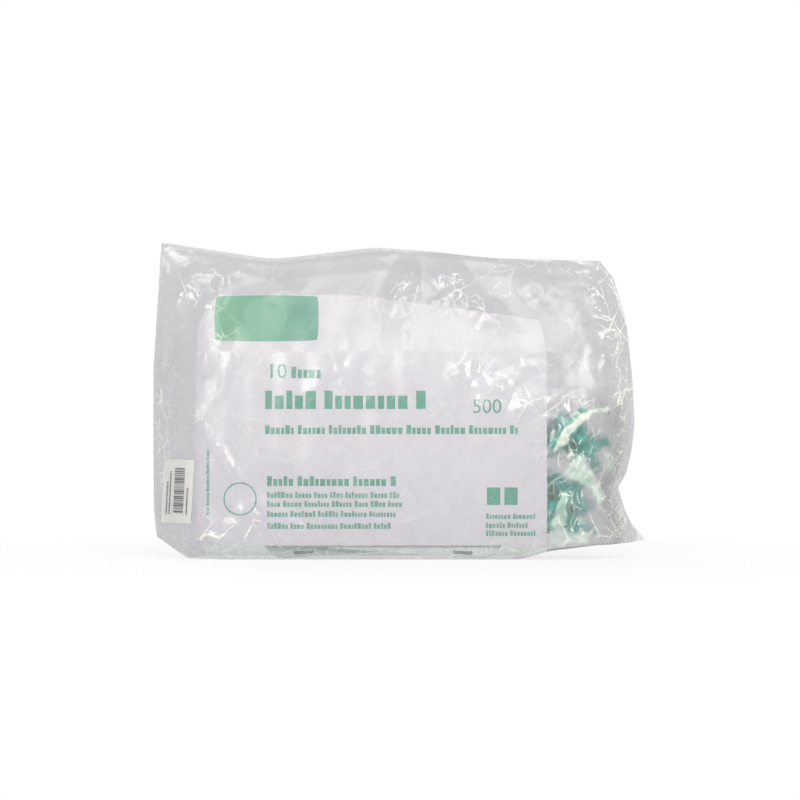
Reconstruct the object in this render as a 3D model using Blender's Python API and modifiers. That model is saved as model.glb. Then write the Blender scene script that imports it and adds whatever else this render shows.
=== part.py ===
"""Clear film pack of ten urine leg bags, standing on its bottom edge.

Ten flat drainage bags stand side by side in a clear film pack, all with their outlet taps
to the right. A printed paper insert stands between them and the front film, and a white
sticker is stuck on the film, low on the left side.

Frame: +X along the pack to the right, the front looks along -Y, +Z up, and the origin is
the middle of the pack's footprint. All sizes are in metres and angles in degrees.
"""
import math

import bmesh
import bpy
from mathutils import Matrix, Vector, noise
from mathutils.bvhtree import BVHTree

# Leg bags: flat welded bags in a row, fanned a little wider at the bottom
BAG_COUNT = 10
BAG_LENGTH = 0.152
BAG_HEIGHT = 0.116
BAG_CORNER = 0.014
BAG_THICKNESS = 0.0040
BAG_PITCH = 0.0050
WELD_WIDTH = 0.006
WELD_THICKNESS = 0.0009
SHOULDER_WIDTH = 0.015
BAG_TILT = 4.0
BAG_FAN = 0.6
SLOT_LENGTH = 0.012
SLOT_WIDTH = 0.0025
SLOT_FROM_END = 0.024
SLOT_CUT = 0.0036

# Soft tube welded into each bag: a short inlet stub and a bent outlet tube
TUBE_RADIUS = 0.0032
TUBE_WELD_DEPTH = 0.010
STUB_LENGTH = 0.0065
TUBE_STRAIGHT = 0.002
TUBE_BEND = 0.42

# Straight stepped inlet connector and its cap
SOCKET_CLEARANCE = 0.0006
SOCKET_DEPTH = 0.0052
SOCKET_END_GAP = 0.0005
SOCKET_WALL = 0.0008
COLLAR_LENGTH = 0.0065
CONNECTOR_LENGTH = 0.029
CONNECTOR_NECK = 0.0034
CONNECTOR_TIP = 0.0024
CONNECTOR_BORE = 0.0014
CAP_CLEARANCE = 0.0005
CAP_WALL = 0.0007
CAP_TOP = 0.0012

# Outlet tap: a barrel on the tube, a cross housing and a bar that slides through it
TAP_LENGTH = 0.032
BARREL_RADIUS = 0.0035
NOZZLE_RADIUS = 0.0030
NOZZLE_TIP = 0.0025
NOZZLE_LENGTH = 0.0085
FLOW_BORE = 0.0016
HOUSING_RADIUS = 0.0044
HOUSING_LENGTH = 0.0125
HOUSING_FROM_INLET = 0.0165
SLIDE_RADIUS = 0.0024
SLIDE_CLEARANCE = 0.0004
SLIDE_KNOB_RADIUS = 0.0037
SLIDE_KNOB_LENGTH = 0.0022
SLIDE_TRAVEL = 0.0045
SLIDE_STOP_GAP = 0.0004

# Where each tap lies, as it fell in the pack: its inlet from the bag's outlet edge, along
# and up, the way its nozzle points from +X, and the side that its shut bar stands out on
TAP_POSES = (
    (0.018, -0.016, -78.0, 1),
    (0.024, 0.005, 46.0, 1),
    (0.026, -0.013, -42.0, -1),
    (0.043, 0.019, -68.0, -1),
    (0.026, -0.0335, -25.0, -1),
    (0.024, 0.009, 2.0, 1),
    (0.026, -0.019, -25.0, 1),
    (0.024, 0.011, -8.0, -1),
    (0.018, -0.015, -60.0, 1),
    (0.012, 0.009, -10.0, -1),
)

# Film pack round the bags: what it adds to them on each side, and its seams
FILM_WALL = 0.0002
CONTENTS_GAP = 0.00035
LEFT_SLACK = 0.0315
RIGHT_SLACK = 0.0125
EAR_REACH = 0.0085
OUTLET_REACH = 0.0630
HEAD_SPACE = 0.0670
DEPTH_SLACK = 0.0052
SEAM_THICKNESS = 0.0012
SEAM_WIDTH = 0.0030
CORNER_RISE = 0.0015
BOTTOM_FLAT = 0.97
VENT_WIDTH = 0.0060
CRUMPLE_DEPTH = 0.0040
CRUMPLE_SIZE = 0.030
CRUMPLE_SEED = 11.3
FOLD_FADE = 0.004

# Paper insert behind the front film, and how its top edge runs in the pack
SHEET_WIDTH = 0.210
SHEET_HEIGHT = 0.148
SHEET_THICKNESS = 0.0003
SHEET_FROM_LEFT = 0.0286
SHEET_BOTTOM = 0.0085
SHEET_RISE_LEFT = 0.0030
SHEET_FALL_RIGHT = 0.0095
SHEET_GAP = 0.0004

# Sticker on the outside of the film, where it rounds to the left seam
LABEL_WIDTH = 0.0192
LABEL_HEIGHT = 0.0384
LABEL_FROM_LEFT = 0.0053
LABEL_BOTTOM = 0.0216
LABEL_LEAN = 0.0022
LABEL_THICKNESS = 0.0003
LABEL_GAP = 0.0006

# Outline of the film from the front. Sides: (share of the height, distance in from the
# seam line as a share of the ears' reach). Top and bottom: (share of the width, distance in
# from the highest or lowest as a share of the height)
LEFT_EDGE = (
    (0.069, 0.2235), (0.156, 0.0353), (0.35, 0.0), (0.6, 0.0), (1.0, 0.5765),
)
RIGHT_EDGE = (
    (0.056, -1.0), (0.105, 0.0), (0.15, 0.4706), (0.224, 0.9882), (0.262, 0.4235), (0.34, 0.0),
    (0.42, -0.2118), (0.56, -0.0706), (0.74, 0.3529), (0.885, 1.2706), (0.942, 2.3294),
)
TOP_EDGE = (
    (0.0, 0.0), (0.25, 0.0531), (0.475, 0.0156), (0.57, 0.025), (0.74, 0.05), (1.0, 0.0594),
)
BOTTOM_EDGE = (
    (0.0, 0.0688), (0.037, 0.0), (0.735, 0.0), (0.8, 0.0271), (0.89, 0.0417), (0.965, 0.0469),
    (1.0, 0.0563),
)

# How full the pack is, as a share of its half depth: up the bags, above the bags, and in
# from each side seam by distance in half depths
FULLNESS_ON_BAGS = (
    (0.0, 0.915), (0.012, 0.94), (0.05, 0.975), (0.24, 1.0), (0.52, 0.985), (0.8, 0.91),
    (1.0, 0.78),
)
FULLNESS_ABOVE = (
    (0.0, 0.78), (0.2, 0.62), (0.45, 0.38), (0.7, 0.19), (0.93, 0.03), (1.0, 0.0),
)
FULLNESS_LEFT = (
    (0.0, 0.0), (0.0993, 0.0), (0.3974, 0.4), (0.6291, 0.7), (0.9603, 0.955), (1.3245, 1.0),
)
FULLNESS_RIGHT = (
    (0.0, 0.0), (0.0993, 0.0), (0.2318, 0.29), (0.3974, 0.54), (0.6623, 0.72), (0.9603, 0.87),
    (1.4901, 1.0),
)

# Folds that stand out of the film: where each starts and ends, across and up as shares of
# the pack, its height as a share of the half depth and its half width as one of the height
FRONT_FOLDS = (
    (0.5267, 0.9376, 0.49, 0.8074, 0.1987, 0.0677), (0.49, 0.8074, 0.49, 0.5209, 0.1159, 0.0833),
    (0.58, 0.9688, 0.64, 0.849, 0.1656, 0.0625), (0.64, 0.849, 0.72, 0.7084, 0.1325, 0.0625),
    (0.0667, 0.9688, 0.1867, 0.8855, 0.1656, 0.0625),
    (0.11, 0.9167, 0.1233, 0.7292, 0.0993, 0.0625),
    (0.7933, 0.9272, 0.8733, 0.7709, 0.1656, 0.0677),
    (0.8733, 0.7709, 0.9133, 0.5834, 0.1325, 0.0625),
    (0.8067, 0.3386, 0.8667, 0.4636, 0.0993, 0.0469), (0.8667, 0.4636, 0.93, 0.474, 0.0828, 0.0469),
)
BACK_FOLDS = (
    (0.2, 0.9584, 0.3, 0.7813, 0.1987, 0.0729), (0.4667, 0.9688, 0.6, 0.7813, 0.1656, 0.0729),
    (0.6, 0.7813, 0.6133, 0.573, 0.0993, 0.0729), (0.7667, 0.9376, 0.8733, 0.7813, 0.1656, 0.0677),
)

# Grid of the film and fineness of the round pieces
FILM_ROWS = (0.0, 0.04, 0.10, 0.17, 0.235, 0.32, 0.42, 0.53, 0.62, 0.70, 0.77, 0.84, 0.92, 1.0)
FILM_COLUMNS = 10
VENT_COLUMN = 7
VENT_ROW = 9
SHEET_COLUMNS = 9
SHEET_ROWS = 5
LABEL_COLUMNS = 5
LABEL_ROWS = 3
ROUND_SIDES = 8
CORNER_POINTS = 2
BEND_POINTS = 5
MERGE = 0.00001

# Sizes and places that follow
SOCKET_RADIUS = TUBE_RADIUS + SOCKET_CLEARANCE
COLLAR_RADIUS = SOCKET_RADIUS + SOCKET_WALL
SEAT_ON_STUB = STUB_LENGTH - SOCKET_DEPTH + SOCKET_END_GAP
INLET_REACH = SEAT_ON_STUB + CONNECTOR_LENGTH + CAP_CLEARANCE + CAP_TOP
PACK_WIDTH = LEFT_SLACK + INLET_REACH + BAG_LENGTH + OUTLET_REACH + RIGHT_SLACK + EAR_REACH
HALF_DEPTH = BAG_COUNT * BAG_PITCH / 2 + DEPTH_SLACK
LEFT = -PACK_WIDTH / 2
SEAM_RIGHT = PACK_WIDTH / 2 - EAR_REACH
BAG_MIDDLE = LEFT + LEFT_SLACK + INLET_REACH + BAG_LENGTH / 2
TILT = math.radians(BAG_TILT)
BAG_DROP = (
    BAG_CORNER
    + (BAG_HEIGHT / 2 - BAG_CORNER) * math.cos(TILT)
    + (BAG_LENGTH / 2 - BAG_CORNER) * math.sin(TILT)
)
BAG_CENTRE = FILM_WALL + CONTENTS_GAP + BAG_DROP
BAGS_TOP = BAG_CENTRE + BAG_DROP
PACK_HEIGHT = BAGS_TOP + HEAD_SPACE
SHEET_LEFT = LEFT + SHEET_FROM_LEFT
LABEL_LEFT = LEFT + LABEL_FROM_LEFT
SLIDE_SHAFT = HOUSING_LENGTH + SLIDE_TRAVEL + 2 * SLIDE_STOP_GAP

FILM = ((0.86, 0.87, 0.88, 0.35), 0.15)
PAPER = ((0.93, 0.93, 0.96, 1.0), 0.75)
LABEL_WHITE = ((0.95, 0.95, 0.95, 1.0), 0.50)
BAG_WHITE = ((0.88, 0.90, 0.92, 1.0), 0.35)
CLEAR_WHITE = ((0.90, 0.92, 0.93, 1.0), 0.30)
CAP_WHITE = ((0.92, 0.93, 0.93, 1.0), 0.40)
TAP_GREEN = ((0.05, 0.38, 0.30, 1.0), 0.35)
SLIDE_GREEN = ((0.07, 0.45, 0.36, 1.0), 0.35)


def clear_scene():
    for item in list(bpy.data.objects):
        bpy.data.objects.remove(item, do_unlink=True)


def new_collection(name):
    group = bpy.data.collections.new(name)
    bpy.context.scene.collection.children.link(group)
    return group


def new_material(name, look):
    colour, roughness = look
    material = bpy.data.materials.new(name)
    material.use_nodes = True
    shader = material.node_tree.nodes["Principled BSDF"]
    shader.inputs["Base Color"].default_value = colour[:3] + (1.0,)
    shader.inputs["Alpha"].default_value = colour[3]
    shader.inputs["Roughness"].default_value = roughness
    shader.inputs["Metallic"].default_value = 0.0
    return material


def add_object(name, mesh, group, matrix=None, look=None):
    item = bpy.data.objects.new(name, mesh)
    group.objects.link(item)
    if matrix is not None:
        item.matrix_world = matrix
    if look is not None:
        if not mesh.materials:
            mesh.materials.append(None)
        item.material_slots[0].link = "OBJECT"
        item.material_slots[0].material = new_material(name, look)
    return item


def add_cutter(name, mesh, matrix=None):
    item = add_object(name, mesh, bpy.data.collections["cutters"], matrix)
    item.hide_render = True
    item.display_type = "WIRE"
    return item


def mesh_from(name, bm):
    mesh = bpy.data.meshes.new(name)
    bmesh.ops.recalc_face_normals(bm, faces=bm.faces)
    bm.to_mesh(mesh)
    bm.free()
    return mesh


def baked(item):
    """The mesh of an object after its modifiers, with the object taken away."""
    bpy.context.view_layer.update()
    graph = bpy.context.evaluated_depsgraph_get()
    mesh = bpy.data.meshes.new_from_object(item.evaluated_get(graph))
    mesh.name = item.name
    bpy.data.objects.remove(item, do_unlink=True)
    bm = bmesh.new()
    bm.from_mesh(mesh)
    bmesh.ops.remove_doubles(bm, verts=bm.verts, dist=MERGE)
    bmesh.ops.recalc_face_normals(bm, faces=bm.faces)
    bm.to_mesh(mesh)
    bm.free()
    return mesh


def turned(name, profile, closed=False):
    """A mesh turned about Z from (radius, height) points, top to bottom on the outside."""
    bm = bmesh.new()
    points = [bm.verts.new((radius, 0.0, height)) for radius, height in profile]
    for first, second in zip(points, points[1:]):
        bm.edges.new((first, second))
    if closed:
        bm.edges.new((points[-1], points[0]))
    mesh = bpy.data.meshes.new(name)
    bm.to_mesh(mesh)
    bm.free()
    item = add_cutter(name, mesh)
    screw = item.modifiers.new("Turn", "SCREW")
    screw.axis = "Z"
    screw.steps = ROUND_SIDES
    screw.render_steps = ROUND_SIDES
    screw.use_merge_vertices = True
    screw.merge_threshold = MERGE
    return baked(item)


def cylinder(name, radius, length, matrix):
    bm = bmesh.new()
    bmesh.ops.create_cone(
        bm, cap_ends=True, segments=ROUND_SIDES, radius1=radius, radius2=radius, depth=length,
        matrix=matrix,
    )
    return mesh_from(name, bm)


def boolean(item, operation, other):
    modifier = item.modifiers.new(operation.title(), "BOOLEAN")
    modifier.operation = operation
    modifier.solver = "EXACT"
    modifier.object = other
    return modifier


def along(points, place):
    """The value at a place on straight runs between (place, value) points."""
    if place <= points[0][0]:
        return points[0][1]
    for (start, low), (end, high) in zip(points, points[1:]):
        if place <= end:
            return low + (high - low) * (place - start) / (end - start)
    return points[-1][1]


def left_edge(z):
    return LEFT + EAR_REACH * along(LEFT_EDGE, z / PACK_HEIGHT)


def right_edge(z):
    return SEAM_RIGHT - EAR_REACH * along(RIGHT_EDGE, z / PACK_HEIGHT)


def top_edge(x):
    return PACK_HEIGHT * (1.0 - along(TOP_EDGE, (x - LEFT) / PACK_WIDTH))


def bottom_edge(x):
    return PACK_HEIGHT * along(BOTTOM_EDGE, (x - LEFT) / PACK_WIDTH)


def fullness(x, z):
    """How far the film stands out at a place on the front, from 0 at a seam to 1."""
    if z <= BAGS_TOP:
        upright = along(FULLNESS_ON_BAGS, z / BAGS_TOP)
    else:
        upright = along(FULLNESS_ABOVE, (z - BAGS_TOP) / (top_edge(x) - BAGS_TOP))
    from_left = along(FULLNESS_LEFT, (x - left_edge(z)) / HALF_DEPTH)
    from_right = along(FULLNESS_RIGHT, (min(right_edge(z), SEAM_RIGHT) - x) / HALF_DEPTH)
    return upright * from_left * from_right


def half_depth(x, z):
    seam = SEAM_THICKNESS / 2
    return seam + (HALF_DEPTH - seam) * fullness(x, z)


def fold_height(folds, x, z, seed):
    """How far the folds and the crumpled slack film stand out of the plain form."""
    height = 0.0
    for start_x, start_z, end_x, end_z, depth, reach in folds:
        start = Vector((LEFT + start_x * PACK_WIDTH, start_z * PACK_HEIGHT))
        end = Vector((LEFT + end_x * PACK_WIDTH, end_z * PACK_HEIGHT))
        run = end - start
        offset = Vector((x, z)) - start
        share = min(1.0, max(0.0, offset.dot(run) / run.length_squared))
        near = max(0.0, 1.0 - (offset - run * share).length / (reach * PACK_HEIGHT))
        height = max(height, depth * HALF_DEPTH * near)
    place = Vector((x / CRUMPLE_SIZE, z / CRUMPLE_SIZE, seed))
    crumple = 0.5 + 0.5 * noise.noise(place)
    slack = min(1.0, max(0.0, (z - BAGS_TOP) / CRUMPLE_SIZE))
    return height + CRUMPLE_DEPTH * crumple * slack


def film_depth(folds, x, z, seed):
    """Half depth with folds, which never stand out past the fullest part."""
    plain = half_depth(x, z)
    rim = min(1.0, (plain - SEAM_THICKNESS / 2) / FOLD_FADE)
    return min(HALF_DEPTH, plain + rim * fold_height(folds, x, z, seed))


def film_stations():
    """Shares across the film: at each bend of the sides, and evenly between them."""
    width = SEAM_RIGHT - LEFT
    left = [HALF_DEPTH * distance / width for distance, _ in FULLNESS_LEFT]
    right = [1.0 - HALF_DEPTH * distance / width for distance, _ in reversed(FULLNESS_RIGHT)]
    step = (right[0] - left[-1]) / FILM_COLUMNS
    middle = [left[-1] + step * index for index in range(1, FILM_COLUMNS)]
    return left + middle + right


def film_ring(bm, across):
    """One closed ring of the film: up the front, down the back and along the bottom."""
    flat_x = LEFT + across * (SEAM_RIGHT - LEFT)
    low = bottom_edge(flat_x + across * EAR_REACH)
    high = top_edge(flat_x)
    front = []
    back = []
    for share in FILM_ROWS:
        z = low + share * (high - low)
        x = left_edge(z) + across * (right_edge(z) - left_edge(z))
        depth = film_depth(FRONT_FOLDS, x, z, CRUMPLE_SEED)
        back_depth = film_depth(BACK_FOLDS, x, z, -CRUMPLE_SEED)
        lift = CORNER_RISE * fullness(x, z) if share == 0.0 else 0.0
        front.append(bm.verts.new((x, -depth, z + lift)))
        back.append(bm.verts.new((x, back_depth, z + lift)))
    foot_x = front[0].co.x
    foot = BOTTOM_FLAT * half_depth(foot_x, low)
    bottom = [bm.verts.new((foot_x, y, low)) for y in (foot, 0.0, -foot)]
    return front + back[::-1] + bottom


def film_form():
    """The film as one closed surface, before it gets its wall and its vent hole."""
    bm = bmesh.new()
    rings = [film_ring(bm, across) for across in film_stations()]
    for ring, following in zip(rings, rings[1:]):
        for index, vertex in enumerate(ring):
            before = index - 1
            bm.faces.new((ring[before], vertex, following[index], following[before]))
    bm.faces.new(rings[0])
    bm.faces.new(rings[-1][::-1])
    bmesh.ops.recalc_face_normals(bm, faces=bm.faces)
    return bm, rings


def cut_vent(bm, rings):
    """Opens the small hole that lets the air out of the pack, high on the back."""
    rows = len(FILM_ROWS)
    place = 2 * rows - 1 - VENT_ROW
    corners = {
        rings[VENT_COLUMN][place], rings[VENT_COLUMN][place - 1],
        rings[VENT_COLUMN + 1][place], rings[VENT_COLUMN + 1][place - 1],
    }
    panel = next(face for face in bm.faces if set(face.verts) == corners)
    edges = sorted(edge.calc_length() for edge in panel.edges)
    inset = (edges[0] - VENT_WIDTH) / 2
    bmesh.ops.inset_individual(bm, faces=[panel], thickness=inset)
    bmesh.ops.delete(bm, geom=[panel], context="FACES")


def build_outer_bag(group):
    bm, rings = film_form()
    cut_vent(bm, rings)
    bmesh.ops.triangulate(bm, faces=bm.faces)
    surface = BVHTree.FromBMesh(bm)
    mesh = bpy.data.meshes.new("outer_bag")
    bm.to_mesh(mesh)
    bm.free()
    item = add_object("outer_bag", mesh, group, look=FILM)
    wall = item.modifiers.new("Wall", "SOLIDIFY")
    wall.thickness = FILM_WALL
    wall.offset = -1.0
    return surface


def film_front(surface, x, z):
    """Where the film's front lies at a place seen from the front, and which way it faces."""
    place, facing, _, _ = surface.ray_cast(Vector((x, -PACK_WIDTH, z)), Vector((0.0, 1.0, 0.0)))
    return place, facing


def laid_sheet(group, name, look, columns, rows, thickness, place):
    """A thin sheet whose front is a grid with its points placed by their shares."""
    bm = bmesh.new()
    bmesh.ops.create_grid(bm, x_segments=columns, y_segments=rows, size=0.5)
    for vertex in bm.verts:
        vertex.co = place(vertex.co.x + 0.5, vertex.co.y + 0.5)
    bm.normal_update()
    if sum(face.normal.y for face in bm.faces) > 0.0:
        bmesh.ops.reverse_faces(bm, faces=bm.faces)
    mesh = bpy.data.meshes.new(name)
    bm.to_mesh(mesh)
    bm.free()
    item = add_object(name, mesh, group, look=look)
    wall = item.modifiers.new("Thickness", "SOLIDIFY")
    wall.thickness = thickness
    wall.offset = -1.0


def build_insert_sheet(group, surface):
    def place(across, up):
        top = SHEET_HEIGHT + SHEET_RISE_LEFT - across * (SHEET_RISE_LEFT + SHEET_FALL_RIGHT)
        x = SHEET_LEFT + across * SHEET_WIDTH
        z = SHEET_BOTTOM + up * top
        film = max(film_front(surface, x, z)[0].y, -half_depth(x, z))
        return Vector((x, film + FILM_WALL + SHEET_GAP, z))

    laid_sheet(group, "insert_sheet", PAPER, SHEET_COLUMNS, SHEET_ROWS, SHEET_THICKNESS, place)


def build_barcode_label(group, surface):
    def place(across, up):
        x = LABEL_LEFT + across * LABEL_WIDTH + up * LABEL_LEAN
        z = LABEL_BOTTOM + up * LABEL_HEIGHT
        film, facing = film_front(surface, x, z)
        return film + facing * (LABEL_GAP + LABEL_THICKNESS)

    laid_sheet(group, "barcode_label", LABEL_WHITE, LABEL_COLUMNS, LABEL_ROWS, LABEL_THICKNESS, place)


def bag_outline(bm):
    """The rounded outline of a leg bag in its own X and Z."""
    points = []
    for turn in range(4):
        side_x = 1 if turn in (0, 3) else -1
        side_z = 1 if turn in (0, 1) else -1
        centre_x = side_x * (BAG_LENGTH / 2 - BAG_CORNER)
        centre_z = side_z * (BAG_HEIGHT / 2 - BAG_CORNER)
        for step in range(CORNER_POINTS):
            angle = math.pi / 2 * (turn + step / (CORNER_POINTS - 1))
            x = centre_x + BAG_CORNER * math.cos(angle)
            z = centre_z + BAG_CORNER * math.sin(angle)
            points.append(bm.verts.new((x, 0.0, z)))
    return bm.faces.new(points)


def raised(bm, face, inset, height):
    """Draws a face in by an inset and lifts it to a height above the middle plane."""
    long_before = max(vertex.co.x for vertex in face.verts)
    high_before = max(vertex.co.z for vertex in face.verts)
    drawn = bmesh.ops.extrude_face_region(bm, geom=[face])["geom"]
    if face.is_valid:
        bmesh.ops.delete(bm, geom=[face], context="FACES_ONLY")
    face = next(part for part in drawn if isinstance(part, bmesh.types.BMFace))
    for vertex in face.verts:
        vertex.co.x *= (long_before - inset) / long_before
        vertex.co.z *= (high_before - inset) / high_before
        vertex.co.y = -height
    return face


def bag_body_mesh():
    """A flat welded bag: a thin weld rim round a pillow, with a strap slot at each corner."""
    bm = bmesh.new()
    face = raised(bm, bag_outline(bm), 0.0, WELD_THICKNESS / 2)
    face = raised(bm, face, WELD_WIDTH, WELD_THICKNESS / 2)
    raised(bm, face, SHOULDER_WIDTH, BAG_THICKNESS / 2)
    mesh = mesh_from("bag_body", bm)
    item = add_cutter("bag_body", mesh)
    mirror = item.modifiers.new("Back", "MIRROR")
    mirror.use_axis = (False, True, False)
    mirror.merge_threshold = MERGE
    slot_x = BAG_LENGTH / 2 - SLOT_FROM_END
    slot_z = BAG_HEIGHT / 2 - WELD_WIDTH / 2
    slots = bmesh.new()
    for x in (-slot_x, slot_x):
        for z in (-slot_z, slot_z):
            size = Matrix.Diagonal((SLOT_LENGTH, SLOT_CUT, SLOT_WIDTH, 1.0))
            bmesh.ops.create_cube(slots, size=1.0, matrix=Matrix.Translation((x, 0.0, z)) @ size)
    cutter = add_cutter("strap_slots", mesh_from("strap_slots", slots))
    boolean(item, "DIFFERENCE", cutter)
    return baked(item)


def bag_matrix(index):
    """Where a bag stands: in its row, tilted in its own plane and fanned at the bottom."""
    from_middle = index - (BAG_COUNT - 1) / 2
    tilt = TILT if index % 2 == 0 else -TILT
    fan = math.radians(BAG_FAN) * from_middle
    middle = Matrix.Translation((BAG_MIDDLE, from_middle * BAG_PITCH, BAG_CENTRE))
    return middle @ Matrix.Rotation(fan, 4, "X") @ Matrix.Rotation(tilt, 4, "Y")


def tap_matrix(index):
    """Where a tap lies: its own +Z runs out of the nozzle and its bar lies along its X."""
    along_x, up, angle, side = TAP_POSES[index % len(TAP_POSES)]
    pair_y = (index - index % 2 - (BAG_COUNT - 2) / 2) * BAG_PITCH
    inlet = Vector((BAG_MIDDLE + BAG_LENGTH / 2 + along_x, pair_y, BAG_CENTRE + up))
    turn = Matrix.Rotation(math.radians(90.0 - angle), 4, "Y")
    flip = Matrix.Rotation(0.0 if side > 0 else math.pi, 4, "Z")
    return Matrix.Translation(inlet) @ turn @ flip


def outlet_route(bag, tap):
    """Points of an outlet tube, from its weld in the bag to its seat in the tap."""
    edge = BAG_LENGTH / 2
    weld = bag @ Vector((edge - TUBE_WELD_DEPTH, 0.0, 0.0))
    leave = bag @ Vector((edge + TUBE_STRAIGHT, 0.0, 0.0))
    enter = tap @ Vector((0.0, 0.0, -TUBE_STRAIGHT))
    seat = tap @ Vector((0.0, 0.0, SOCKET_DEPTH - SOCKET_END_GAP))
    out = (leave - weld).normalized()
    into = (seat - enter).normalized()
    reach = TUBE_BEND * (enter - leave).length
    first = leave + out * reach
    second = enter - into * reach
    points = [weld]
    for step in range(BEND_POINTS):
        share = step / (BEND_POINTS - 1)
        rest = 1.0 - share
        points.append(
            leave * rest ** 3 + first * 3.0 * rest ** 2 * share
            + second * 3.0 * rest * share ** 2 + enter * share ** 3
        )
    return points + [seat]


def tube_mesh(name, points):
    curve = bpy.data.curves.new(name, "CURVE")
    curve.dimensions = "3D"
    curve.bevel_depth = TUBE_RADIUS
    curve.bevel_resolution = 1
    curve.use_fill_caps = True
    spline = curve.splines.new("POLY")
    spline.points.add(len(points) - 1)
    for point, place in zip(spline.points, points):
        point.co = (*place, 1.0)
    item = add_cutter(name, curve)
    return baked(item)


def build_leg_bag(group, number, matrix, tap, body):
    """The welded bag: its body, the inlet stub and the outlet tube as one piece."""
    item = add_object(f"leg_bag_{number}", body.copy(), group, matrix, BAG_WHITE)
    edge = BAG_LENGTH / 2
    stub = [matrix @ Vector((x, 0.0, 0.0)) for x in (TUBE_WELD_DEPTH - edge, -edge - STUB_LENGTH)]
    boolean(item, "UNION", add_cutter("inlet_stub", tube_mesh("inlet_stub", stub)))
    outlet = tube_mesh("outlet_tube", outlet_route(matrix, tap))
    boolean(item, "UNION", add_cutter("outlet_tube", outlet))


def connector_mesh():
    """Stepped inlet connector about Z: collar on the stub, neck and cone, bored through."""
    return turned("inlet_connector", (
        (CONNECTOR_TIP, CONNECTOR_LENGTH),
        (CONNECTOR_NECK, COLLAR_LENGTH + SOCKET_WALL),
        (COLLAR_RADIUS, COLLAR_LENGTH),
        (COLLAR_RADIUS, 0.0),
        (SOCKET_RADIUS, 0.0),
        (SOCKET_RADIUS, SOCKET_DEPTH),
        (CONNECTOR_BORE, SOCKET_DEPTH),
        (CONNECTOR_BORE, CONNECTOR_LENGTH),
    ), closed=True)


def cap_mesh():
    """Cap about Z, open at its low end, over the connector's cone."""
    mouth = CONNECTOR_NECK + CAP_CLEARANCE
    crown = CONNECTOR_TIP + CAP_CLEARANCE
    inside = CONNECTOR_LENGTH + CAP_CLEARANCE
    start = COLLAR_LENGTH + SOCKET_WALL + CAP_CLEARANCE
    return turned("connector_cap", (
        (0.0, inside + CAP_TOP),
        (crown + CAP_WALL, inside + CAP_TOP),
        (mouth + CAP_WALL, start),
        (mouth, start),
        (crown, inside),
        (0.0, inside),
    ))


def tap_body_mesh():
    """Tap body about Z: collar, barrel, nozzle and flow bore, with the cross housing."""
    barrel = turned("tap_barrel", (
        (NOZZLE_TIP, TAP_LENGTH),
        (NOZZLE_RADIUS, TAP_LENGTH - NOZZLE_LENGTH),
        (BARREL_RADIUS, TAP_LENGTH - NOZZLE_LENGTH),
        (BARREL_RADIUS, COLLAR_LENGTH + SOCKET_WALL),
        (COLLAR_RADIUS, COLLAR_LENGTH),
        (COLLAR_RADIUS, 0.0),
        (SOCKET_RADIUS, 0.0),
        (SOCKET_RADIUS, SOCKET_DEPTH),
        (FLOW_BORE, SOCKET_DEPTH),
        (FLOW_BORE, TAP_LENGTH),
    ), closed=True)
    item = add_cutter("tap_barrel", barrel)
    lying = Matrix.Translation((0.0, 0.0, HOUSING_FROM_INLET)) @ Matrix.Rotation(math.pi / 2, 4, "Y")
    housing = cylinder("tap_housing", HOUSING_RADIUS, HOUSING_LENGTH, lying)
    bore = cylinder("slide_bore", SLIDE_RADIUS + SLIDE_CLEARANCE, HOUSING_LENGTH * 2, lying)
    boolean(item, "UNION", add_cutter("tap_housing", housing))
    boolean(item, "DIFFERENCE", add_cutter("slide_bore", bore))
    return baked(item)


def slide_mesh():
    """Cross bar about its own Z, with a knob at each end, on its joint's axis."""
    far = HOUSING_LENGTH / 2 + SLIDE_STOP_GAP + SLIDE_TRAVEL
    near = far - SLIDE_SHAFT
    return turned("tap_slide", (
        (0.0, far + SLIDE_KNOB_LENGTH),
        (SLIDE_KNOB_RADIUS, far + SLIDE_KNOB_LENGTH),
        (SLIDE_KNOB_RADIUS, far),
        (SLIDE_RADIUS, far),
        (SLIDE_RADIUS, near),
        (SLIDE_KNOB_RADIUS, near),
        (SLIDE_KNOB_RADIUS, near - SLIDE_KNOB_LENGTH),
        (0.0, near - SLIDE_KNOB_LENGTH),
    ))


def build_contents(group):
    body = bag_body_mesh()
    connector = connector_mesh()
    cap = cap_mesh()
    tap_body = tap_body_mesh()
    slide = slide_mesh()
    inlet = Matrix.Translation((-BAG_LENGTH / 2 - SEAT_ON_STUB, 0.0, 0.0))
    inlet = inlet @ Matrix.Rotation(-math.pi / 2, 4, "Y")
    bar = Matrix.Translation((0.0, 0.0, HOUSING_FROM_INLET)) @ Matrix.Rotation(math.pi / 2, 4, "Y")
    for index in range(BAG_COUNT):
        number = f"{index + 1:02d}"
        bag = bag_matrix(index)
        tap = tap_matrix(index)
        build_leg_bag(group, number, bag, tap, body)
        add_object(f"inlet_connector_{number}", connector, group, bag @ inlet, CLEAR_WHITE)
        add_object(f"connector_cap_{number}", cap, group, bag @ inlet, CAP_WHITE)
        add_object(f"tap_body_{number}", tap_body, group, tap, TAP_GREEN)
        add_object(f"tap_slide_{number}", slide, group, tap @ bar, SLIDE_GREEN)


def main():
    clear_scene()
    group = new_collection("leg_bag_pack")
    new_collection("cutters")
    surface = build_outer_bag(group)
    build_insert_sheet(group, surface)
    build_barcode_label(group, surface)
    build_contents(group)


main()
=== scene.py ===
"""Looks of the clear film pack of urine leg bags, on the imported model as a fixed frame.

The film, the insert, the sticker and all that lies in the pack are made here as detailed
pieces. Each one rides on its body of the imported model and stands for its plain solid.
Frame: +X along the pack to the right, the front looks along -Y, +Z up, sizes in metres.
"""
import math
import random

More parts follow.
